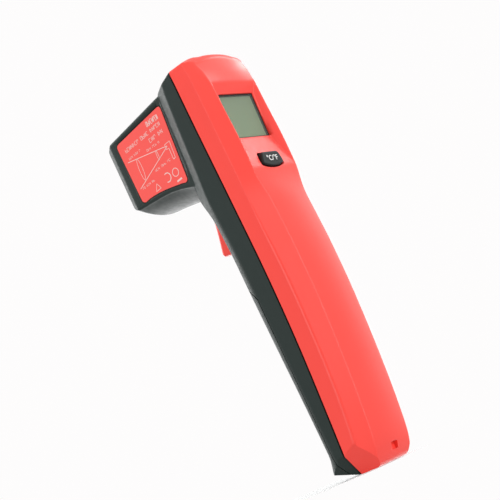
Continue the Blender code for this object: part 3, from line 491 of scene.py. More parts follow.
class Finish:
    """A node material under construction, in object coordinates (metres)."""

    def __init__(self, name):
        self.material = bpy.data.materials.new(name)
        self.material.use_nodes = True
        self.tree = self.material.node_tree
        self.shader = self.tree.nodes["Principled BSDF"]
        self.places = self.tree.nodes.new("ShaderNodeTexCoord").outputs["Object"]

    def node(self, kind, inputs=None, **settings):
        return add_node(self.tree, kind, inputs, **settings)

    def noise(self, scale, detail=3.0, roughness=0.5, places=None):
        inputs = {"Vector": places or self.places, "Scale": scale, "Detail": detail, "Roughness": roughness}
        return self.node("ShaderNodeTexNoise", inputs).outputs["Fac"]

    def spread(self, value, low, high, from_low=0.3, from_high=0.7):
        return self.node("ShaderNodeMapRange", {"Value": value, "From Min": from_low, "From Max": from_high,
                                                "To Min": low, "To Max": high}).outputs["Result"]

    def tint(self, share, first, second):
        """Two colours, the second shown by share; each may be a socket or three numbers."""
        inputs = {"Factor": share}
        for index, colour in ((6, first), (7, second)):
            inputs[index] = colour if isinstance(colour, bpy.types.NodeSocket) else (*colour, 1.0)
        return self.node("ShaderNodeMix", inputs, data_type="RGBA").outputs[2]

    def maths(self, operation, first, second=0.0):
        return self.node("ShaderNodeMath", {0: first, 1: second}, operation=operation).outputs[0]

    def bump(self, height, strength, distance):
        made = self.node("ShaderNodeBump", {"Height": height, "Strength": strength, "Distance": distance})
        self.tree.links.new(made.outputs["Normal"], self.shader.inputs["Normal"])

    def set(self, **values):
        """Inputs of the shader, each a socket or a number."""
        for key, value in values.items():
            socket = self.shader.inputs[key.replace("_", " ")]
            if isinstance(value, bpy.types.NodeSocket):
                self.tree.links.new(value, socket)
            else:
                socket.default_value = value


def varied(colour, amount):
    """Slightly darker and lighter versions of a colour."""
    return [tuple(c * (1 - amount) for c in colour), tuple(min(c * (1 + amount), 1.0) for c in colour)]


def moulded(name, colour, roughness, amount=0.05, grain=1500.0, depth=0.00002, strength=0.25, specular=0.5):
    """Moulded plastic or rubber: faint clouds of colour, uneven gloss and a fine spark texture."""
    made = Finish(name)
    clouds = made.noise(55.0, 4.0)
    fine = made.noise(grain, 2.0, 0.6)
    made.set(Base_Color=made.tint(clouds, *varied(colour, amount)),
             Roughness=made.spread(made.noise(grain * 0.4), roughness - 0.05, roughness + 0.06))
    made.shader.inputs["Specular IOR Level"].default_value = specular
    made.bump(fine, strength, depth)
    return made


def metal(name, colour, roughness, stretch=(1.0, 1.0, 1.0)):
    """Steel with fine marks, drawn out along one direction where stretch says so."""
    made = Finish(name)
    places = made.node("ShaderNodeMapping", {"Vector": made.places, "Scale": stretch}).outputs["Vector"]
    marks = made.noise(900.0, 4.0, 0.6, places)
    made.set(Base_Color=made.tint(marks, *varied(colour, 0.12)), Metallic=1.0,
             Roughness=made.spread(marks, roughness - 0.07, roughness + 0.1))
    made.bump(marks, 0.15, 0.00002)
    return made


RED = moulded("red_plastic", (0.930, 0.056, 0.040), 0.36, 0.03, strength=0.12).material
RED_FILM = moulded("label_film", (0.930, 0.090, 0.075), 0.33, 0.03, 2600.0, 0.00001, 0.15).material
GREY = moulded("grey_plastic", (0.008, 0.018, 0.015), 0.43, 0.10, specular=0.38).material
RUBBER = moulded("button_rubber", (0.006, 0.009, 0.009), 0.50, 0.12, 2400.0, specular=0.32).material
PRINT = moulded("white_print", (0.780, 0.760, 0.740), 0.60, 0.04, 3000.0, 0.000005, 0.2).material
LABEL_PRINT = moulded("label_print", (0.840, 0.560, 0.520), 0.50, 0.04, 3000.0, 0.000005, 0.2).material
BEZEL = moulded("bezel_black", (0.010, 0.011, 0.012), 0.34, 0.15).material
# Black for the display window's liner: partly the display's seal, partly painted shade on the opening's deep
# inner walls.
SEAL_AND_PAINTED_SHADE = moulded("seal_and_painted_shade_black", (0.008, 0.008, 0.009), 0.70, 0.15).material


def lens_finish():
    made = Finish("lens_milk")
    made.set(Base_Color=made.tint(made.noise(160.0), (0.62, 0.63, 0.60), (0.74, 0.75, 0.72)),
             Roughness=made.spread(made.noise(1200.0), 0.26, 0.38))
    made.shader.inputs["Subsurface Weight"].default_value = 0.25
    made.shader.inputs["Subsurface Radius"].default_value = (0.002, 0.002, 0.0016)
    made.shader.inputs["Subsurface Scale"].default_value = 1.0
    made.bump(made.noise(2200.0), 0.15, 0.00001)
    return made.material


def window_finish():
    made = Finish("window_clear")
    made.set(Base_Color=made.tint(made.noise(70.0), (0.50, 0.56, 0.50), (0.60, 0.66, 0.60)),
             Roughness=made.spread(made.noise(400.0), 0.05, 0.11))
    made.shader.inputs["Alpha"].default_value = 0.10
    made.bump(made.noise(300.0), 0.05, 0.00001)
    return made.material


def lcd_finish():
    """Plain grey-green display with painted light: a little lighter towards its lower edge."""
    made = Finish("lcd_glass")
    height = made.node("ShaderNodeSeparateXYZ", {"Vector": made.places}).outputs["Z"]
    # painted light: the colour lightens towards the display's lower edge
    share = made.spread(height, 1.0, 0.0, WINDOW_BOTTOM * MM, WINDOW_TOP * MM)
    base = made.tint(share, (0.140, 0.205, 0.100), (0.165, 0.250, 0.118))
    grain = made.noise(2500.0, 2.0)
    made.set(Base_Color=made.tint(made.spread(grain, 0.0, 0.10), base, (0.10, 0.14, 0.10)),
             Roughness=made.spread(grain, 0.30, 0.42))
    made.bump(grain, 0.1, 0.00001)
    return made.material


# --- casing -----------------------------------------------------------------------------------

def stations(low, high, step, *extra):
    count = max(int(round((high - low) / step)), 1)
    heights = {round(low + (high - low) * i / count, 4) for i in range(count + 1)}
    heights |= {z for z in extra if low < z < high}
    return sorted(heights)


def body_rings(outline, heights):
    rings = [[(x, y, z) for x, y in outline(z)] for z in heights]
    edge = outline(HEIGHT)
    rings += [[top_point(x, y, reach) for x, y in edge] for reach in TOP_REACHES]
    return rings


def crowned(bm):
    """Close the top with one point in the middle."""
    bm.faces.ensure_lookup_table()
    bmesh.ops.poke(bm, faces=[bm.faces[-1]])["verts"][0].co.z = HEIGHT
    return bm


FINE_HEIGHTS = (0.5, 1.0, 1.6, 2.3, 3.0, 3.8, 4.7, 5.7, 7.0)


def front_solid():
    extra = FINE_HEIGHTS + tuple(SCOOP_BOTTOM + d for d in (-1.0, -0.4, 0.0, 0.4, 1.0, 2.0))
    extra += tuple(WINDOW_BOTTOM + d for d in (-1.0, -0.4, 0.0, 0.4, 1.0))
    extra += tuple(WINDOW_TOP + d for d in (-1.0, -0.4, 0.0, 0.3, 0.6, 1.0))
    extra += tuple(SCOOP_TOP + d for d in (-1.4, -0.8, -0.4, 0.0, 0.4, 1.0, 2.0, 3.2, 4.4))
    bm = crowned(loft(body_rings(front_ring, stations(0.0, HEIGHT - SHOULDER_DEPTH, 3.0, *extra))))
    slice_corners(bm)
    return bm


def inner_front(inset):
    """The space inside the front skin."""
    rings = []
    changes = (110, 117, 121, SCOOP_BOTTOM, WINDOW_BOTTOM, WINDOW_TOP, SCOOP_TOP)
    for z in stations(inset, INNER_TOP, 6.0, *changes):
        side = half_width(z) - inset
        front = max(face_y(z), scoop_floor(z)) + inset
        half = [(side, parting_y(z) + 2.0), (side, ridge_y(z) + 0.42 * inset),
                (face_half_width(z) - 0.42 * inset, front + BROW_RECESS * brow(z)), (0.0, front)]
        rings.append([(x, y, z) for x, y in mirror(half)])
    bm = loft(rings)
    slice_corners(bm, inset)
    toe = Vector((0.0, -TOE_SLOPE - 0.11, -0.577)).normalized()
    slice_off(bm, Vector((0.0, -TOE_DEPTH, 0.0)) - toe * inset, toe)
    return bm


def button_outline(grow=0.0, corner=1.5):
    """Straight top and sides, a curved lower edge and rounded corners."""
    half_top, half_bottom = BUTTON_HALF_TOP + grow, BUTTON_HALF_BOTTOM + grow
    top, bottom = BUTTON_TOP + grow, BUTTON_BOTTOM - grow
    half = [(0.0, top), (half_top, top), (half_bottom, bottom),
            (half_bottom * 0.72, bottom - BUTTON_SAG * 0.48), (half_bottom * 0.4, bottom - BUTTON_SAG * 0.84),
            (0.0, bottom - BUTTON_SAG)]
    half = rounded(half[:4], (corner, corner), 6)[:-1] + half[3:]
    return half + [(-x, z) for x, z in reversed(half[1:-1])]


def build_front():
    shell = to_object("front_casing", front_solid())
    combine(shell, "DIFFERENCE", tool(inner_front(SKIN)))
    window = block((-WINDOW_HALF_WIDTH, -20.0, WINDOW_BOTTOM), (WINDOW_HALF_WIDTH, -8.0, WINDOW_TOP))
    key_hole = prism(button_outline(0.35, 1.3), "y", -20, -8)
    (left, low), (right, high) = CORD_SLOT
    slot = block((left, -19.0, low), (right, -12.0, high), 0.5)
    combine(shell, "DIFFERENCE", tool(window), tool(key_hole), tool(slot))
    # A bar right behind the wall. It closes the cord slot, which is open in the CAD.
    bar = block((-3.4, face_y(5.0) + 1.4, 3.2), (4.0, face_y(5.0) + 2.2, 7.4))
    combine(shell, "UNION", tool(bar))
    inside = combine(cad_copy("front_shell"), "INTERSECT", tool(inner_front(SKIN - 0.02)))
    combine(shell, "UNION", inside)
    return finish(shell, "housing", RED, ["front_shell"])


def inner_rear(inset):
    rings = []
    for z in stations(inset, INNER_TOP, 6.0, *HEAD_BLEND, 120):
        side = half_width(z) - inset
        edge = rear_edge_y(z)
        headness = blend(*HEAD_BLEND, z)
        half = [(side, parting_y(z) - 2.0)]
        for i, (head_x, head_y) in enumerate(HEAD_CORNERS[1:6]):
            angle = math.radians(22.5 * i)
            radius = BACK_ROUNDING - inset
            half.append((side - mix(radius * (1 - math.cos(angle)), head_x, headness),
                         edge + mix(radius * math.sin(angle), head_y - inset * math.sin(angle), headness)))
        half.append((0.0, half[-1][1] + 0.3))
        rings.append([(x, y, z) for x, y in mirror(half)])
    bm = loft(rings)
    slice_corners(bm, inset)
    slope = Vector((0.0, TOP_SLOPE, 1.0)).normalized()
    slice_off(bm, Vector((0.0, 0.0, HEIGHT - TOP_ARCH)) - slope * inset, slope)
    heel = Vector(HEEL_NORMAL)
    slice_off(bm, Vector((0.0, HEEL_START, 0.0)) - heel * inset, heel)
    return bm


def snout_ring(y, inset=0.0):
    """Cross-section of the snout, rounded at its four corners."""
    side = SNOUT_HALF_WIDTH - SNOUT_TAPER * (y - SNOUT_START) - inset
    top = snout_side_top(y) - inset
    bottom = snout_side_bottom(y) + inset
    drop = snout_side_bottom(y) - snout_middle_bottom(y)
    radius = SNOUT_CORNER
    half = []
    for i in range(9):
        share = i / 8 * (side - radius) / side
        half.append((side * share, top + SNOUT_CROWN * (1 - (i / 8) ** 2)))
    for i in range(1, 7):
        angle = math.radians(90 - 15 * i)
        half.append((side - radius + radius * math.cos(angle), top - radius + radius * math.sin(angle)))
    for share in (0.25, 0.5, 0.75):
        half.append((side, mix(top - radius, bottom + radius, share)))
    for i in range(7):
        angle = math.radians(-15 * i)
        half.append((side - radius + radius * math.cos(angle), bottom + radius + radius * math.sin(angle)))
    for i in range(7, -1, -1):
        share = i / 8 * (side - radius) / side
        half.append((side * share, bottom - drop * (1 - (i / 8) ** 2)))
    ring = half + [(-x, z) for x, z in reversed(half[1:-1])]
    forward = (y - SNOUT_START) / (SNOUT_TIP - SNOUT_START)
    return [(x, y + SNOUT_SLANT * forward * (z - OPTICS_HEIGHT), z) for x, z in ring]


def snout_solid(skin=0.0):
    if skin:
        stops = [(y, skin) for y in (8.0, 12.0, 16.0, 20.0, 26.0, 34.0, SNOUT_RIM - skin)]
        stops.append((SNOUT_TIP - skin, skin + 0.9))
    else:
        stops = [(y, 0.0) for y in (8, 10, 12, 14, 16, 18, 20, 23, 26, 29, 32, 35, 38, 41, 44)]
        stops += [(45.6, 0.0), (46.1, 0.04), (46.5, 0.16), (46.9, 0.33), (47.6, 0.66), (48.4, 1.02),
                  (48.8, 1.24), (49.08, 1.48), (49.24, 1.76), (SNOUT_TIP, 2.2)]
    return loft([snout_ring(y, inset) for y, inset in stops])


def label_outline(grow=0.0, steps=8):
    corners = ((12.9 - grow, 166.9 + grow), (43.2 + grow, 163.2 + grow), (41.3 + grow, 135.9 - grow),
               (14.3 - grow, 133.3 - grow))
    points = []
    for i, corner in enumerate(corners):
        here = Vector(corner)
        before = (Vector(corners[i - 1]) - here).normalized() * LABEL_CORNER
        after = (Vector(corners[(i + 1) % 4]) - here).normalized() * LABEL_CORNER
        for k in range(steps + 1):
            share = k / steps
            points.append(tuple(here + before * (1 - share) ** 2 + after * share ** 2))
        if i == 2:
            for y in (37.0, 34.0, 30.5, 27.0, 23.5, 20.0, 17.5):
                points.append((y, 133.0 + 3.1 * blend(8.0, 34.0, y) - grow))
    return points


def on_snout_side(bm, side):
    """Bend a flat plate so that its X is the height above the snout's side wall."""
    for vert in bm.verts:
        wall = SNOUT_HALF_WIDTH - SNOUT_TAPER * (vert.co.y - SNOUT_START)
        vert.co.x = side * (wall + vert.co.x)
    return bm


def cover_region(grow):
    outline = [(y - grow, z + (grow if z > 50 else 0.0)) for y, z in COVER_SEAM]
    outline += [(20.0, -2.0), (20.0, COVER_SEAM[0][1] + grow)]
    return prism(outline, "x", -25.0, 25.0)


def rear_skin_solid():
    bm = crowned(loft(body_rings(rear_ring, stations(0.0, HEIGHT - SHOULDER_DEPTH, 3.0, *FINE_HEIGHTS))))
    slice_corners(bm)
    slice_off(bm, (0.0, HEEL_START, 0.0), HEEL_NORMAL)
    return bm


def build_rear():
    shell = to_object("rear_casing", rear_skin_solid())
    combine(shell, "UNION", tool(snout_solid()))
    combine(shell, "DIFFERENCE", tool(inner_rear(SKIN)), tool(snout_solid(SKIN)))
    opening = TRIGGER_HALF_WIDTH + 0.5
    combine(shell, "DIFFERENCE", tool(cover_region(0.0)),
            tool(block((-opening, 3.0, SLOT_BOTTOM), (opening, 18.0, SLOT_TOP))),
            tool(rod((0, -6, 0), "y", 9.0, 12.5, 96), OPTICS),
            tool(rod((0, -1.2, 0), "y", 4.0, 14.1, 96), OPTICS))
    for side in (-1, 1):
        recess = on_snout_side(prism(label_outline(0.35), "x", -0.45, 1.0), side)
        combine(shell, "DIFFERENCE", tool(recess))
    for x, z in UPPER_SCREWS:
        start = parting_y(z) + JOINT_GAP + SCREW_SINK_DEPTH
        combine(shell, "DIFFERENCE", tool(rod((x, start, z), "y", 20.0, SCREW_SINK_RADIUS, 48)))
    hidden = combine(tool(inner_rear(SKIN - 0.02)), "UNION", tool(snout_solid(SKIN - 0.02)))
    inside = combine(cad_copy("rear_shell"), "INTERSECT", hidden)
    combine(shell, "UNION", inside)
    return finish(shell, "housing", GREY, ["rear_shell"])


def build_cover():
    rings = []
    for z in stations(0.0, 90.0, 3.0, *FINE_HEIGHTS, FOOT_TOP):
        flare = FOOT_FLARE * (1.0 - blend(1.5, FOOT_TOP, z))
        rings.append([(x, y, z) for x, y in rear_ring(z, flare)])
    bm = loft(rings)
    slice_corners(bm)
    slice_off(bm, (0.0, HEEL_START, 0.0), HEEL_NORMAL)
    slice_off(bm, HEEL_CORNER, HEEL_CORNER_NORMAL)
    cover = to_object("battery_door", bm)
    combine(cover, "DIFFERENCE", tool(inner_rear(SKIN + 0.8)))
    combine(cover, "INTERSECT", tool(cover_region(-0.3)))
    for i in range(COVER_GROOVES):
        z = 66.0 + 2.4 * i
        y = rear_edge_y(z) + BACK_ROUNDING + 0.45
        combine(cover, "DIFFERENCE", tool(rod((-6.5, y, z), "x", 13.0, 0.8, 24)))
    return finish(cover, "battery_cover", GREY, ["battery_cover"])


build_front()
build_rear()
build_cover()


# --- snout label and its print ----------------------------------------------------------------

def stroke(bm, start, end, width, thickness=0.03, base=0.1):
    """One printed bar on the label, from start to end as (Y, Z)."""
    a, b = Vector(start), Vector(end)
    along = (b - a).normalized()
    side = Vector((-along.y, along.x)) * width / 2
    corners = [a + side, b + side, b - side, a - side]
    piece = prism([tuple(corner) for corner in corners], "x", base, base + thickness)
    add(bm, piece)


def add(bm, piece):
    """Add one bmesh to another."""
    mesh = bpy.data.meshes.new("t")
    piece.to_mesh(mesh)
    piece.free()
    bm.from_mesh(mesh)
    bpy.data.meshes.remove(mesh)


def curve_strokes(bm, points, width):
    for start, end in zip(points, points[1:]):
        stroke(bm, start, end, width)


GLYPH_STROKES = {
    "O": (((0, 0), (0, 1)), ((0, 1), (1, 1)), ((1, 1), (1, 0)), ((1, 0), (0, 0))),
    "B": (((0, 0), (0, 1)), ((0, 0.5), (1, 0.5)), ((0, 0), (1, 0)), ((1, 0), (1, 0.5))),
    "D": (((0, 0), (0, 1)), ((0, 1), (1, 0.5)), ((1, 0.5), (0, 0))),
    "E": (((0, 0), (0, 1)), ((0, 1), (1, 1)), ((0, 0), (1, 0))),
    "N": (((0, 0), (0, 1)), ((0, 1), (1, 0)), ((1, 0), (1, 1))),
    "P": (((0, 0), (0, 1)), ((0, 1), (1, 1)), ((1, 1), (1, 0.5))),
    "M": (((0, 0), (0, 1)), ((0.5, 1), (0.5, 0)), ((1, 0), (1, 1))),
}


def glyphs(bm, start, end, height, pattern):
    """A row of made-up signs that stands for a line of small print."""
    a, b = Vector(start), Vector(end)
    pitch = (b - a) / len(pattern)
    up = Vector((-pitch.y, pitch.x)).normalized() * height
    up *= 1.0 if up.y > 0 else -1.0
    across = pitch * 0.68
    for i, letter in enumerate(pattern):
        corner = a + pitch * i - up / 2
        for first, second in GLYPH_STROKES.get(letter, ()):
            start_point = corner + across * first[0] + up * first[1]
            end_point = corner + across * second[0] + up * second[1]
            stroke(bm, start_point, end_point, height * 0.125)


def arc(centre, radius_y, radius_z, low, high, steps=16):
    angles = [math.radians(mix(low, high, i / steps)) for i in range(steps + 1)]
    middle_y, middle_z = centre
    return [(middle_y + radius_y * math.cos(a), middle_z + radius_z * math.sin(a)) for a in angles]


def build_label(side, name):
    plate = on_snout_side(prism(label_outline(), "x", -0.15, 0.1), side)
    made = to_object(f"film_{name}", plate)
    finish(made, "housing", RED_FILM, [f"label_{name}"], weighted=False)
    bm = bmesh.new()
    glyphs(bm, (23.3, 163.3), (15.8, 163.5), 2.0, "OBDENPEM")
    glyphs(bm, (39.4, 159.0), (16.0, 160.6), 1.5, "BEMNDEP OBME DNPEM")
    glyphs(bm, (25.0, 156.7), (16.2, 157.3), 1.6, "EMP DN")
    glyphs(bm, (39.1, 155.3), (31.4, 155.8), 0.9, "BEN DOM P")
    glyphs(bm, (28.4, 153.9), (20.1, 154.1), 0.9, "ODN PEB M")
    glyphs(bm, (28.2, 144.6), (18.3, 145.2), 0.9, "MEN ODB PE")
    glyphs(bm, (38.3, 141.2), (30.5, 141.7), 0.9, "PO DEN MB")
    stroke(bm, (40.6, 154.3), (17.4, 150.7), 0.26)
    stroke(bm, (39.6, 141.7), (17.4, 150.5), 0.26)
    curve_strokes(bm, arc((23.9, 149.6), 0.5, 2.0, 0, 360), 0.2)
    curve_strokes(bm, arc((35.2, 148.6), 1.0, 4.8, 0, 360, 24), 0.2)
    body = [(18.4, 151.6), (15.2, 151.9), (15.6, 144.6), (16.8, 144.4), (16.9, 149.4), (18.3, 149.5),
            (18.4, 151.6)]
    curve_strokes(bm, body, 0.22)
    curve_strokes(bm, arc((23.6, 139.4), 1.9, 1.9, 60, 300), 0.42)
    curve_strokes(bm, arc((18.6, 139.4), 1.7, 1.7, 0, 360), 0.3)
    stroke(bm, (19.6, 135.6), (16.6, 135.9), 0.7)
    curve_strokes(bm, [(32.0, 137.0), (28.9, 137.2), (30.3, 139.8), (32.0, 137.0)], 0.22)
    printed = to_object(f"film_print_{name}", on_snout_side(bm, side))
    finish(printed, "housing", LABEL_PRINT, weighted=False)


build_label(-1, "left")
build_label(1, "right")


# --- optics -----------------------------------------------------------------------------------

def build_optics():
    bezel = [(13.8, -0.35), (13.62, -0.14), (13.3, -0.08), (11.9, -0.08), (11.55, -0.2), (11.35, -0.5),
             (11.2, -0.62), (10.95, -0.66), (10.8, -0.9), (10.6, -1.5), (10.35, -2.1), (10.1, -2.9),
             (9.95, -3.6), (9.85, -4.2), (12.1, -4.2), (12.1, -1.0), (13.8, -1.0)]
    made = to_object("nose_ring", spun(bezel), OPTICS)
    finish(made, "housing", BEZEL, ["nose_bezel"], smooth=40)
    face = [(0.0, -4.05)]
    for i in range(1, 19):
        radius = i * 0.55
        face.append((radius, -4.05 - 0.004 * radius ** 2))
        face.append((radius + 0.06, -4.13 - 0.004 * radius ** 2))
    lens = face + [(10.9, -4.68), (11.2, -4.72), (11.2, -5.6), (0.0, -5.6)]
    made = to_object("fresnel_lens", spun(lens), OPTICS)
    finish(made, "housing", lens_finish(), ["infrared_lens"], smooth=50, weighted=False)


build_optics()


# --- display ----------------------------------------------------------------------------------

def build_display():
    floor = SCOOP_FLOOR + WINDOW_SILL
    outer, inner = 0.02, 0.22
    # A thin black liner on the window opening's inner walls: it stands for the display's seal and is painted
    # shade of those deep walls.
    bm = block((-WINDOW_HALF_WIDTH + outer, SCOOP_FLOOR + 0.35, WINDOW_BOTTOM + outer),
               (WINDOW_HALF_WIDTH - outer, floor + 0.28, WINDOW_TOP - outer))
    seal_and_painted_shade = to_object("window_seal_and_painted_shade", bm)
    hole = block((-WINDOW_HALF_WIDTH + inner, -20.0, WINDOW_BOTTOM + inner),
                 (WINDOW_HALF_WIDTH - inner, -8.0, WINDOW_TOP - inner))
    combine(seal_and_painted_shade, "DIFFERENCE", tool(hole))
    finish(seal_and_painted_shade, "housing", SEAL_AND_PAINTED_SHADE, weighted=False)
    flange = block((-12.6, floor + 0.3, 137.2), (12.6, floor + 1.4, 159.8), 0.15)
    pane = to_object("display_window", flange)
    raised = block((-PANE_HALF_WIDTH, SCOOP_FLOOR + 0.45, WINDOW_BOTTOM + PANE_GAP),
                   (PANE_HALF_WIDTH, floor + 0.8, WINDOW_TOP - PANE_GAP), 0.2)
    room = block((-10.4, SCOOP_FLOOR + 1.05, WINDOW_BOTTOM + 0.6), (10.4, floor + 2.0, WINDOW_TOP - 0.6))
    combine(pane, "UNION", tool(raised))
    combine(pane, "DIFFERENCE", tool(room))
    finish(pane, "housing", window_finish(), ["lcd_window"])
    panel_front = floor + 1.7
    plate = block((-12.4, panel_front, 137.0), (12.4, panel_front + 1.8, 160.4), 0.1)
    panel = to_object("display_panel", plate)
    glass = block((-10.25, SCOOP_FLOOR + 1.15, WINDOW_BOTTOM + 0.75),
                  (10.25, panel_front + 0.5, WINDOW_TOP - 0.75), 0.1)
    combine(panel, "UNION", tool(glass))
    finish(panel, "housing", lcd_finish(), ["lcd_panel"])


build_display()


# --- button and trigger -----------------------------------------------------------------------

def build_button():
    back = SCOOP_FLOOR + 1.2
    cap = prism(button_outline(), "y", BUTTON_FACE, back)
    middle = (BUTTON_TOP + BUTTON_BOTTOM) / 2
    for vert in cap.verts:
        if vert.co.y < BUTTON_FACE + 0.1:
            vert.co.x *= 0.95
            vert.co.z = middle + (vert.co.z - middle) * 0.94
    rim = [edge for edge in cap.edges if all(vert.co.y < BUTTON_FACE + 0.1 for vert in edge.verts)]
    bmesh.ops.bevel(cap, geom=rim, offset=0.7, segments=5, affect="EDGES", profile=0.5)
    button = to_object("unit_key", cap)
    flange = tool(block((-8.4, back - 0.6, 122.2), (8.4, back + 0.4, 132.0), 0.3))
    stem = tool(rod((0, back, 127.6), "y", STEM_END - back, 1.6, 32))
    combine(button, "UNION", flange, stem)
    finish(button, "unit_button", RUBBER, ["unit_button"], smooth=40)
    text = bpy.data.curves.new("key_print", "FONT")
    text.body = "°C/°F"
    text.size = KEY_PRINT_SIZE * MM
    text.extrude = 0.03 * MM
    text.offset = 0.035 * MM
    text.align_x = "CENTER"
    text.align_y = "CENTER"
    made = bpy.data.objects.new("key_print", text)
    SCENE.collection.objects.link(made)
    made.rotation_euler.x = math.radians(90)
    made.location = (0.0, (BUTTON_FACE + DATUM_Y) * MM, 127.4 * MM)
    bpy.context.view_layer.update()
    settled = bpy.data.objects.new("unit_key_print", bpy.data.meshes.new_from_object(
        made.evaluated_get(bpy.context.evaluated_depsgraph_get())))
    settled.data.transform(made.matrix_world)
    bpy.data.objects.remove(made, do_unlink=True)
    SCENE.collection.objects.link(settled)
    finish(settled, "unit_button", PRINT, weighted=False)


def build_trigger():
    hub = arc((PIVOT_Y, PIVOT_Z), 3.0, 3.0, 180, 0, 12)
    finger_y = smooth_through((101.0, 21.9), (102.2, 22.2), (104.5, 21.8), (110.0, 20.6), (115.5, 19.7),
                              (120.0, 19.1), (123.4, 18.6))
    finger = [(12.0, 124.6), (17.4, 124.5), (18.2, 124.2)]
    heights = (123.4, 121.5, 119.5, 117.5, 115.5, 113.5, 111.5, 109.5, 107.5, 105.5, 103.8, 102.4)
    finger += [(finger_y(z), z) for z in heights]
    finger += [(21.5, 101.1), (17.5, 100.5), (7.2, 100.7)]
    inner = [(5.0, 103.0), (5.0, 110.0), (6.6, 112.0), (6.2, 124.0)]
    solid = prism(hub + finger + inner, "x", -TRIGGER_HALF_WIDTH, TRIGGER_HALF_WIDTH)
    edges = [edge for edge in solid.edges if all(vert.co.y > 16.0 for vert in edge.verts)
             and abs(edge.verts[0].co.x - edge.verts[1].co.x) < 0.1]
    bmesh.ops.bevel(solid, geom=edges, offset=1.5, segments=6, affect="EDGES", profile=0.5)
    trigger = to_object("trigger_lever", solid)
    combine(trigger, "DIFFERENCE", tool(rod((-9, PIVOT_Y, PIVOT_Z), "x", 18.0, 1.3, 32)),
            tool(rod((0, 2.0, SPRING_HEIGHT), "y", 6.8, 3.0, 32)))
    for i in range(TRIGGER_GROOVES):
        z = 106.5 + 3.2 * i
        combine(trigger, "DIFFERENCE", tool(rod((-3.6, finger_y(z) + 0.42, z), "x", 7.2, 0.7, 24)))
    finish(trigger, "trigger", RED, ["trigger"], smooth=35)


build_button()
build_trigger()


# --- finishes of the CAD nodes that stay ------------------------------------------------------

def assign(material, *nodes):
    for node in nodes:
        NODES[node].data.materials.clear()
        NODES[node].data.materials.append(material)


def board_finish():
    """Green solder mask over copper tracks."""
    made = Finish("board_green")
    turned = made.node("ShaderNodeMapping", {"Vector": made.places, "Rotation": (math.radians(90), 0, 0)})
    layout = {"Vector": turned.outputs["Vector"], "Scale": 320.0, "Mortar Size": 0.09, "Mortar Smooth": 0.2,
              "Brick Width": 1.7, "Row Height": 0.5}
    tracks = made.node("ShaderNodeTexBrick", layout)
    share = made.spread(tracks.outputs["Fac"], 0.0, 0.75, 0.0, 1.0)
    base = made.tint(made.noise(90.0), (0.010, 0.115, 0.045), (0.016, 0.155, 0.062))
    made.set(Base_Color=made.tint(share, base, (0.035, 0.24, 0.10)),
             Roughness=made.spread(made.noise(500.0), 0.3, 0.45))
    made.bump(tracks.outputs["Fac"], 0.4, 0.00003)
    return made.material


def battery_finish():
    """Dark jacket with a band round its middle."""
    made = Finish("battery_jacket")
    height = made.node("ShaderNodeSeparateXYZ", {"Vector": made.places}).outputs["Z"]
    low = made.maths("GREATER_THAN", height, 0.034)
    high = made.maths("LESS_THAN", height, 0.052)
    base = made.tint(made.noise(120.0), (0.012, 0.013, 0.015), (0.020, 0.021, 0.024))
    made.set(Base_Color=made.tint(made.maths("MULTIPLY", low, high), base, (0.42, 0.23, 0.04)),
             Roughness=made.spread(made.noise(600.0), 0.25, 0.4))
    made.bump(made.noise(900.0), 0.1, 0.00002)
    return made.material


def foam_finish():
    made = Finish("foam_black")
    cells = made.node("ShaderNodeTexVoronoi", {"Vector": made.places, "Scale": 1400.0}).outputs["Distance"]
    made.set(Base_Color=made.tint(cells, (0.006, 0.006, 0.006), (0.035, 0.035, 0.036)),
             Roughness=made.spread(cells, 0.85, 0.98, 0.0, 1.0))
    made.bump(cells, 0.8, 0.0002)
    return made.material


SCREW = metal("screw_steel", (0.62, 0.61, 0.59), 0.30, (1.0, 6.0, 1.0)).material
PIN = metal("pin_steel", (0.66, 0.66, 0.67), 0.22, (6.0, 1.0, 1.0)).material
assign(SCREW, *[f"board_screw_{i}" for i in (1, 2, 3)], *[f"casing_screw_{i}" for i in (1, 2, 3, 4)])
assign(PIN, "trigger_pin")
assign(metal("spring_steel", (0.60, 0.60, 0.62), 0.26).material, "trigger_spring")
assign(metal("sensor_can", (0.70, 0.68, 0.62), 0.28).material, "thermopile_sensor", "crystal")
assign(board_finish(), "main_board", "sensor_board")
assign(battery_finish(), "battery")
assign(foam_finish(), "battery_pad")
assign(moulded("chip_black", (0.014, 0.014, 0.015), 0.42, 0.2, 2000.0).material, "controller_chip",
       "memory_chip")
assign(moulded("switch_black", (0.018, 0.018, 0.019), 0.48, 0.2).material, "trigger_switch", "unit_switch")
assign(moulded("capacitor_sleeve", (0.012, 0.018, 0.050), 0.32, 0.2).material, "capacitor")
assign(moulded("snap_black", (0.016, 0.016, 0.017), 0.55, 0.2).material, "battery_snap")
assign(moulded("barrel_black", (0.012, 0.012, 0.013), 0.62, 0.2).material, "lens_barrel")
assign(moulded("frame_white", (0.72, 0.72, 0.69), 0.5, 0.05).material, "lcd_frame")
assign(moulded("strip_grey", (0.16, 0.165, 0.18), 0.6, 0.2).material, "contact_strip")
assign(moulded("cable_film", (0.66, 0.66, 0.62), 0.42, 0.08).material, "sensor_cable")
assign(moulded("lead_red", (0.62, 0.03, 0.025), 0.42, 0.1).material, "battery_lead_red")
assign(moulded("lead_black", (0.014, 0.014, 0.014), 0.42, 0.2).material, "battery_lead_black")


# --- floor, light and camera ------------------------------------------------------------------

FLOOR_FADE = 0.010
FLOOR_EDGE = 0.040
CAMERA_ANGLES = (-52.131, -9.0415, -23.1696)    # azimuth, elevation and roll, in degrees
CAMERA_AIM = 98.342                             # height aimed at, millimetres
CAMERA_SHIFT = 9.798
CAMERA_DISTANCE = 522.644
FOCAL_SHARE = 1300.9 / 500.0                    # focal length over the picture's width
SENSOR = 36.0


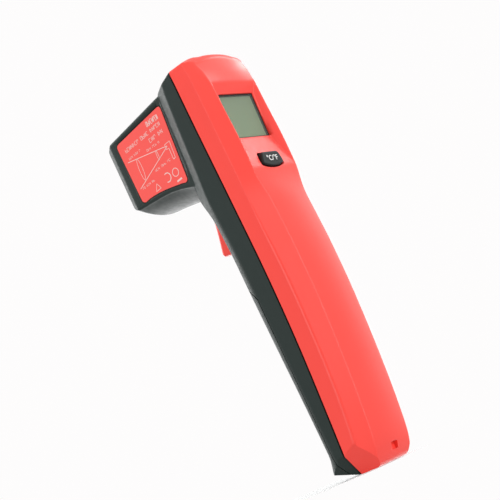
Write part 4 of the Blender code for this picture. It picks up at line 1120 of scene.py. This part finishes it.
def build_floor():
    """A white disc that fades into the white surroundings away from the object."""
    bm = bmesh.new()
    bmesh.ops.create_circle(bm, cap_ends=True, segments=96, radius=FLOOR_EDGE)
    mesh = bpy.data.meshes.new("floor")
    bm.to_mesh(mesh)
    bm.free()
    floor = bpy.data.objects.new("floor", mesh)
    SCENE.collection.objects.link(floor)
    made = bpy.data.materials.new("pale_floor")
    made.use_nodes = True
    tree = made.node_tree
    tree.nodes.remove(tree.nodes["Principled BSDF"])
    matt = add_node(tree, "ShaderNodeBsdfDiffuse", {"Color": (0.72, 0.725, 0.725, 1.0)})
    gloss = add_node(tree, "ShaderNodeBsdfGlossy", {"Color": (0.9, 0.9, 0.9, 1.0), "Roughness": 0.16})
    surface = add_node(tree, "ShaderNodeMixShader", {0: 0.10, 1: matt.outputs[0], 2: gloss.outputs[0]})
    places = add_node(tree, "ShaderNodeTexCoord").outputs["Object"]
    away = add_node(tree, "ShaderNodeVectorMath", {0: places}, operation="LENGTH").outputs["Value"]
    reach = {"Value": away, "From Min": FLOOR_FADE, "From Max": FLOOR_EDGE}
    fade = add_node(tree, "ShaderNodeMapRange", reach, interpolation_type="SMOOTHERSTEP").outputs["Result"]
    gone = add_node(tree, "ShaderNodeBsdfTransparent")
    both = add_node(tree, "ShaderNodeMixShader", {0: fade, 1: surface.outputs[0], 2: gone.outputs[0]})
    tree.links.new(both.outputs[0], tree.nodes["Material Output"].inputs["Surface"])
    mesh.materials.append(made)
    floor.location.z = -0.0002


def build_world():
    """A white studio: bright behind the object, dimmer on the camera's side."""
    world = bpy.data.worlds.new("studio")
    SCENE.world = world
    world.use_nodes = True
    tree = world.node_tree
    lit = tree.nodes["Background"]
    where = add_node(tree, "ShaderNodeTexCoord").outputs["Generated"]
    bright = Vector((0.78, 0.58, -0.24)).normalized()
    dot = add_node(tree, "ShaderNodeVectorMath", {0: where, 1: bright}, operation="DOT_PRODUCT")
    reach = {"Value": dot.outputs["Value"], "From Min": 0.72, "From Max": 1.0, "To Min": 0.66, "To Max": 3.0}
    ramp = add_node(tree, "ShaderNodeMapRange", reach, interpolation_type="SMOOTHSTEP")
    lit.inputs["Color"].default_value = (1.0, 1.0, 1.0, 1.0)
    tree.links.new(ramp.outputs["Result"], lit.inputs["Strength"])
    seen = add_node(tree, "ShaderNodeBackground", {"Color": (0.985, 0.975, 0.975, 1.0)})
    camera_ray = add_node(tree, "ShaderNodeLightPath").outputs["Is Camera Ray"]
    both = add_node(tree, "ShaderNodeMixShader", {0: camera_ray, 1: lit.outputs[0], 2: seen.outputs[0]})
    tree.links.new(both.outputs[0], tree.nodes["World Output"].inputs["Surface"])


def softbox(name, place, target, size, watts):
    light = bpy.data.lights.new(name, "AREA")
    light.shape = "RECTANGLE"
    light.size, light.size_y = size
    light.energy = watts
    made = bpy.data.objects.new(name, light)
    SCENE.collection.objects.link(made)
    made.location = place
    made.rotation_euler = (Vector(target) - Vector(place)).to_track_quat("-Z", "Y").to_euler()


def build_camera():
    camera = bpy.data.cameras.new("camera")
    made = bpy.data.objects.new("camera", camera)
    SCENE.collection.objects.link(made)
    azimuth, elevation, roll = (math.radians(angle) for angle in CAMERA_ANGLES)
    back = Vector((math.sin(azimuth) * math.cos(elevation), -math.cos(azimuth) * math.cos(elevation),
                   math.sin(elevation)))
    level = (-back).cross(Vector((0, 0, 1))).normalized()
    upright = level.cross(-back)
    right = level * math.cos(roll) + upright * math.sin(roll)
    up = upright * math.cos(roll) - level * math.sin(roll)
    place = (Vector((0, DATUM_Y, CAMERA_AIM)) - CAMERA_SHIFT * level + CAMERA_DISTANCE * back) * MM
    made.matrix_world = Matrix.Translation(place) @ Matrix((right, up, back)).transposed().to_4x4()
    camera.sensor_width = SENSOR
    camera.lens = SENSOR * FOCAL_SHARE
    camera.clip_start = 0.01
    SCENE.camera = made


build_floor()
build_world()
softbox("key", (0.74, -0.37, 0.72), (0, 0, 0.13), (0.34, 0.34), 2.1)
softbox("fill", (-0.22, -0.98, 0.34), (0, 0, 0.1), (0.5, 0.8), 1.3)
softbox("front", (0.26, -0.97, 0.22), (0, 0, 0.09), (0.06, 0.9), 3.4)
softbox("rim", (1.0, -0.10, 0.30), (0, 0, 0.12), (0.14, 0.7), 4.5)
softbox("back", (-0.10, 0.9, 0.45), (0, 0, 0.12), (0.5, 0.8), 4.5)
softbox("strip", (-1.0, -0.05, 0.25), (0, 0, 0.1), (0.16, 0.8), 2.9)
softbox("above", (0.0, 0.0, 1.1), (0, 0, 0.1), (0.8, 0.8), 4.0)
build_camera()
SCENE.view_settings.view_transform = "Standard"
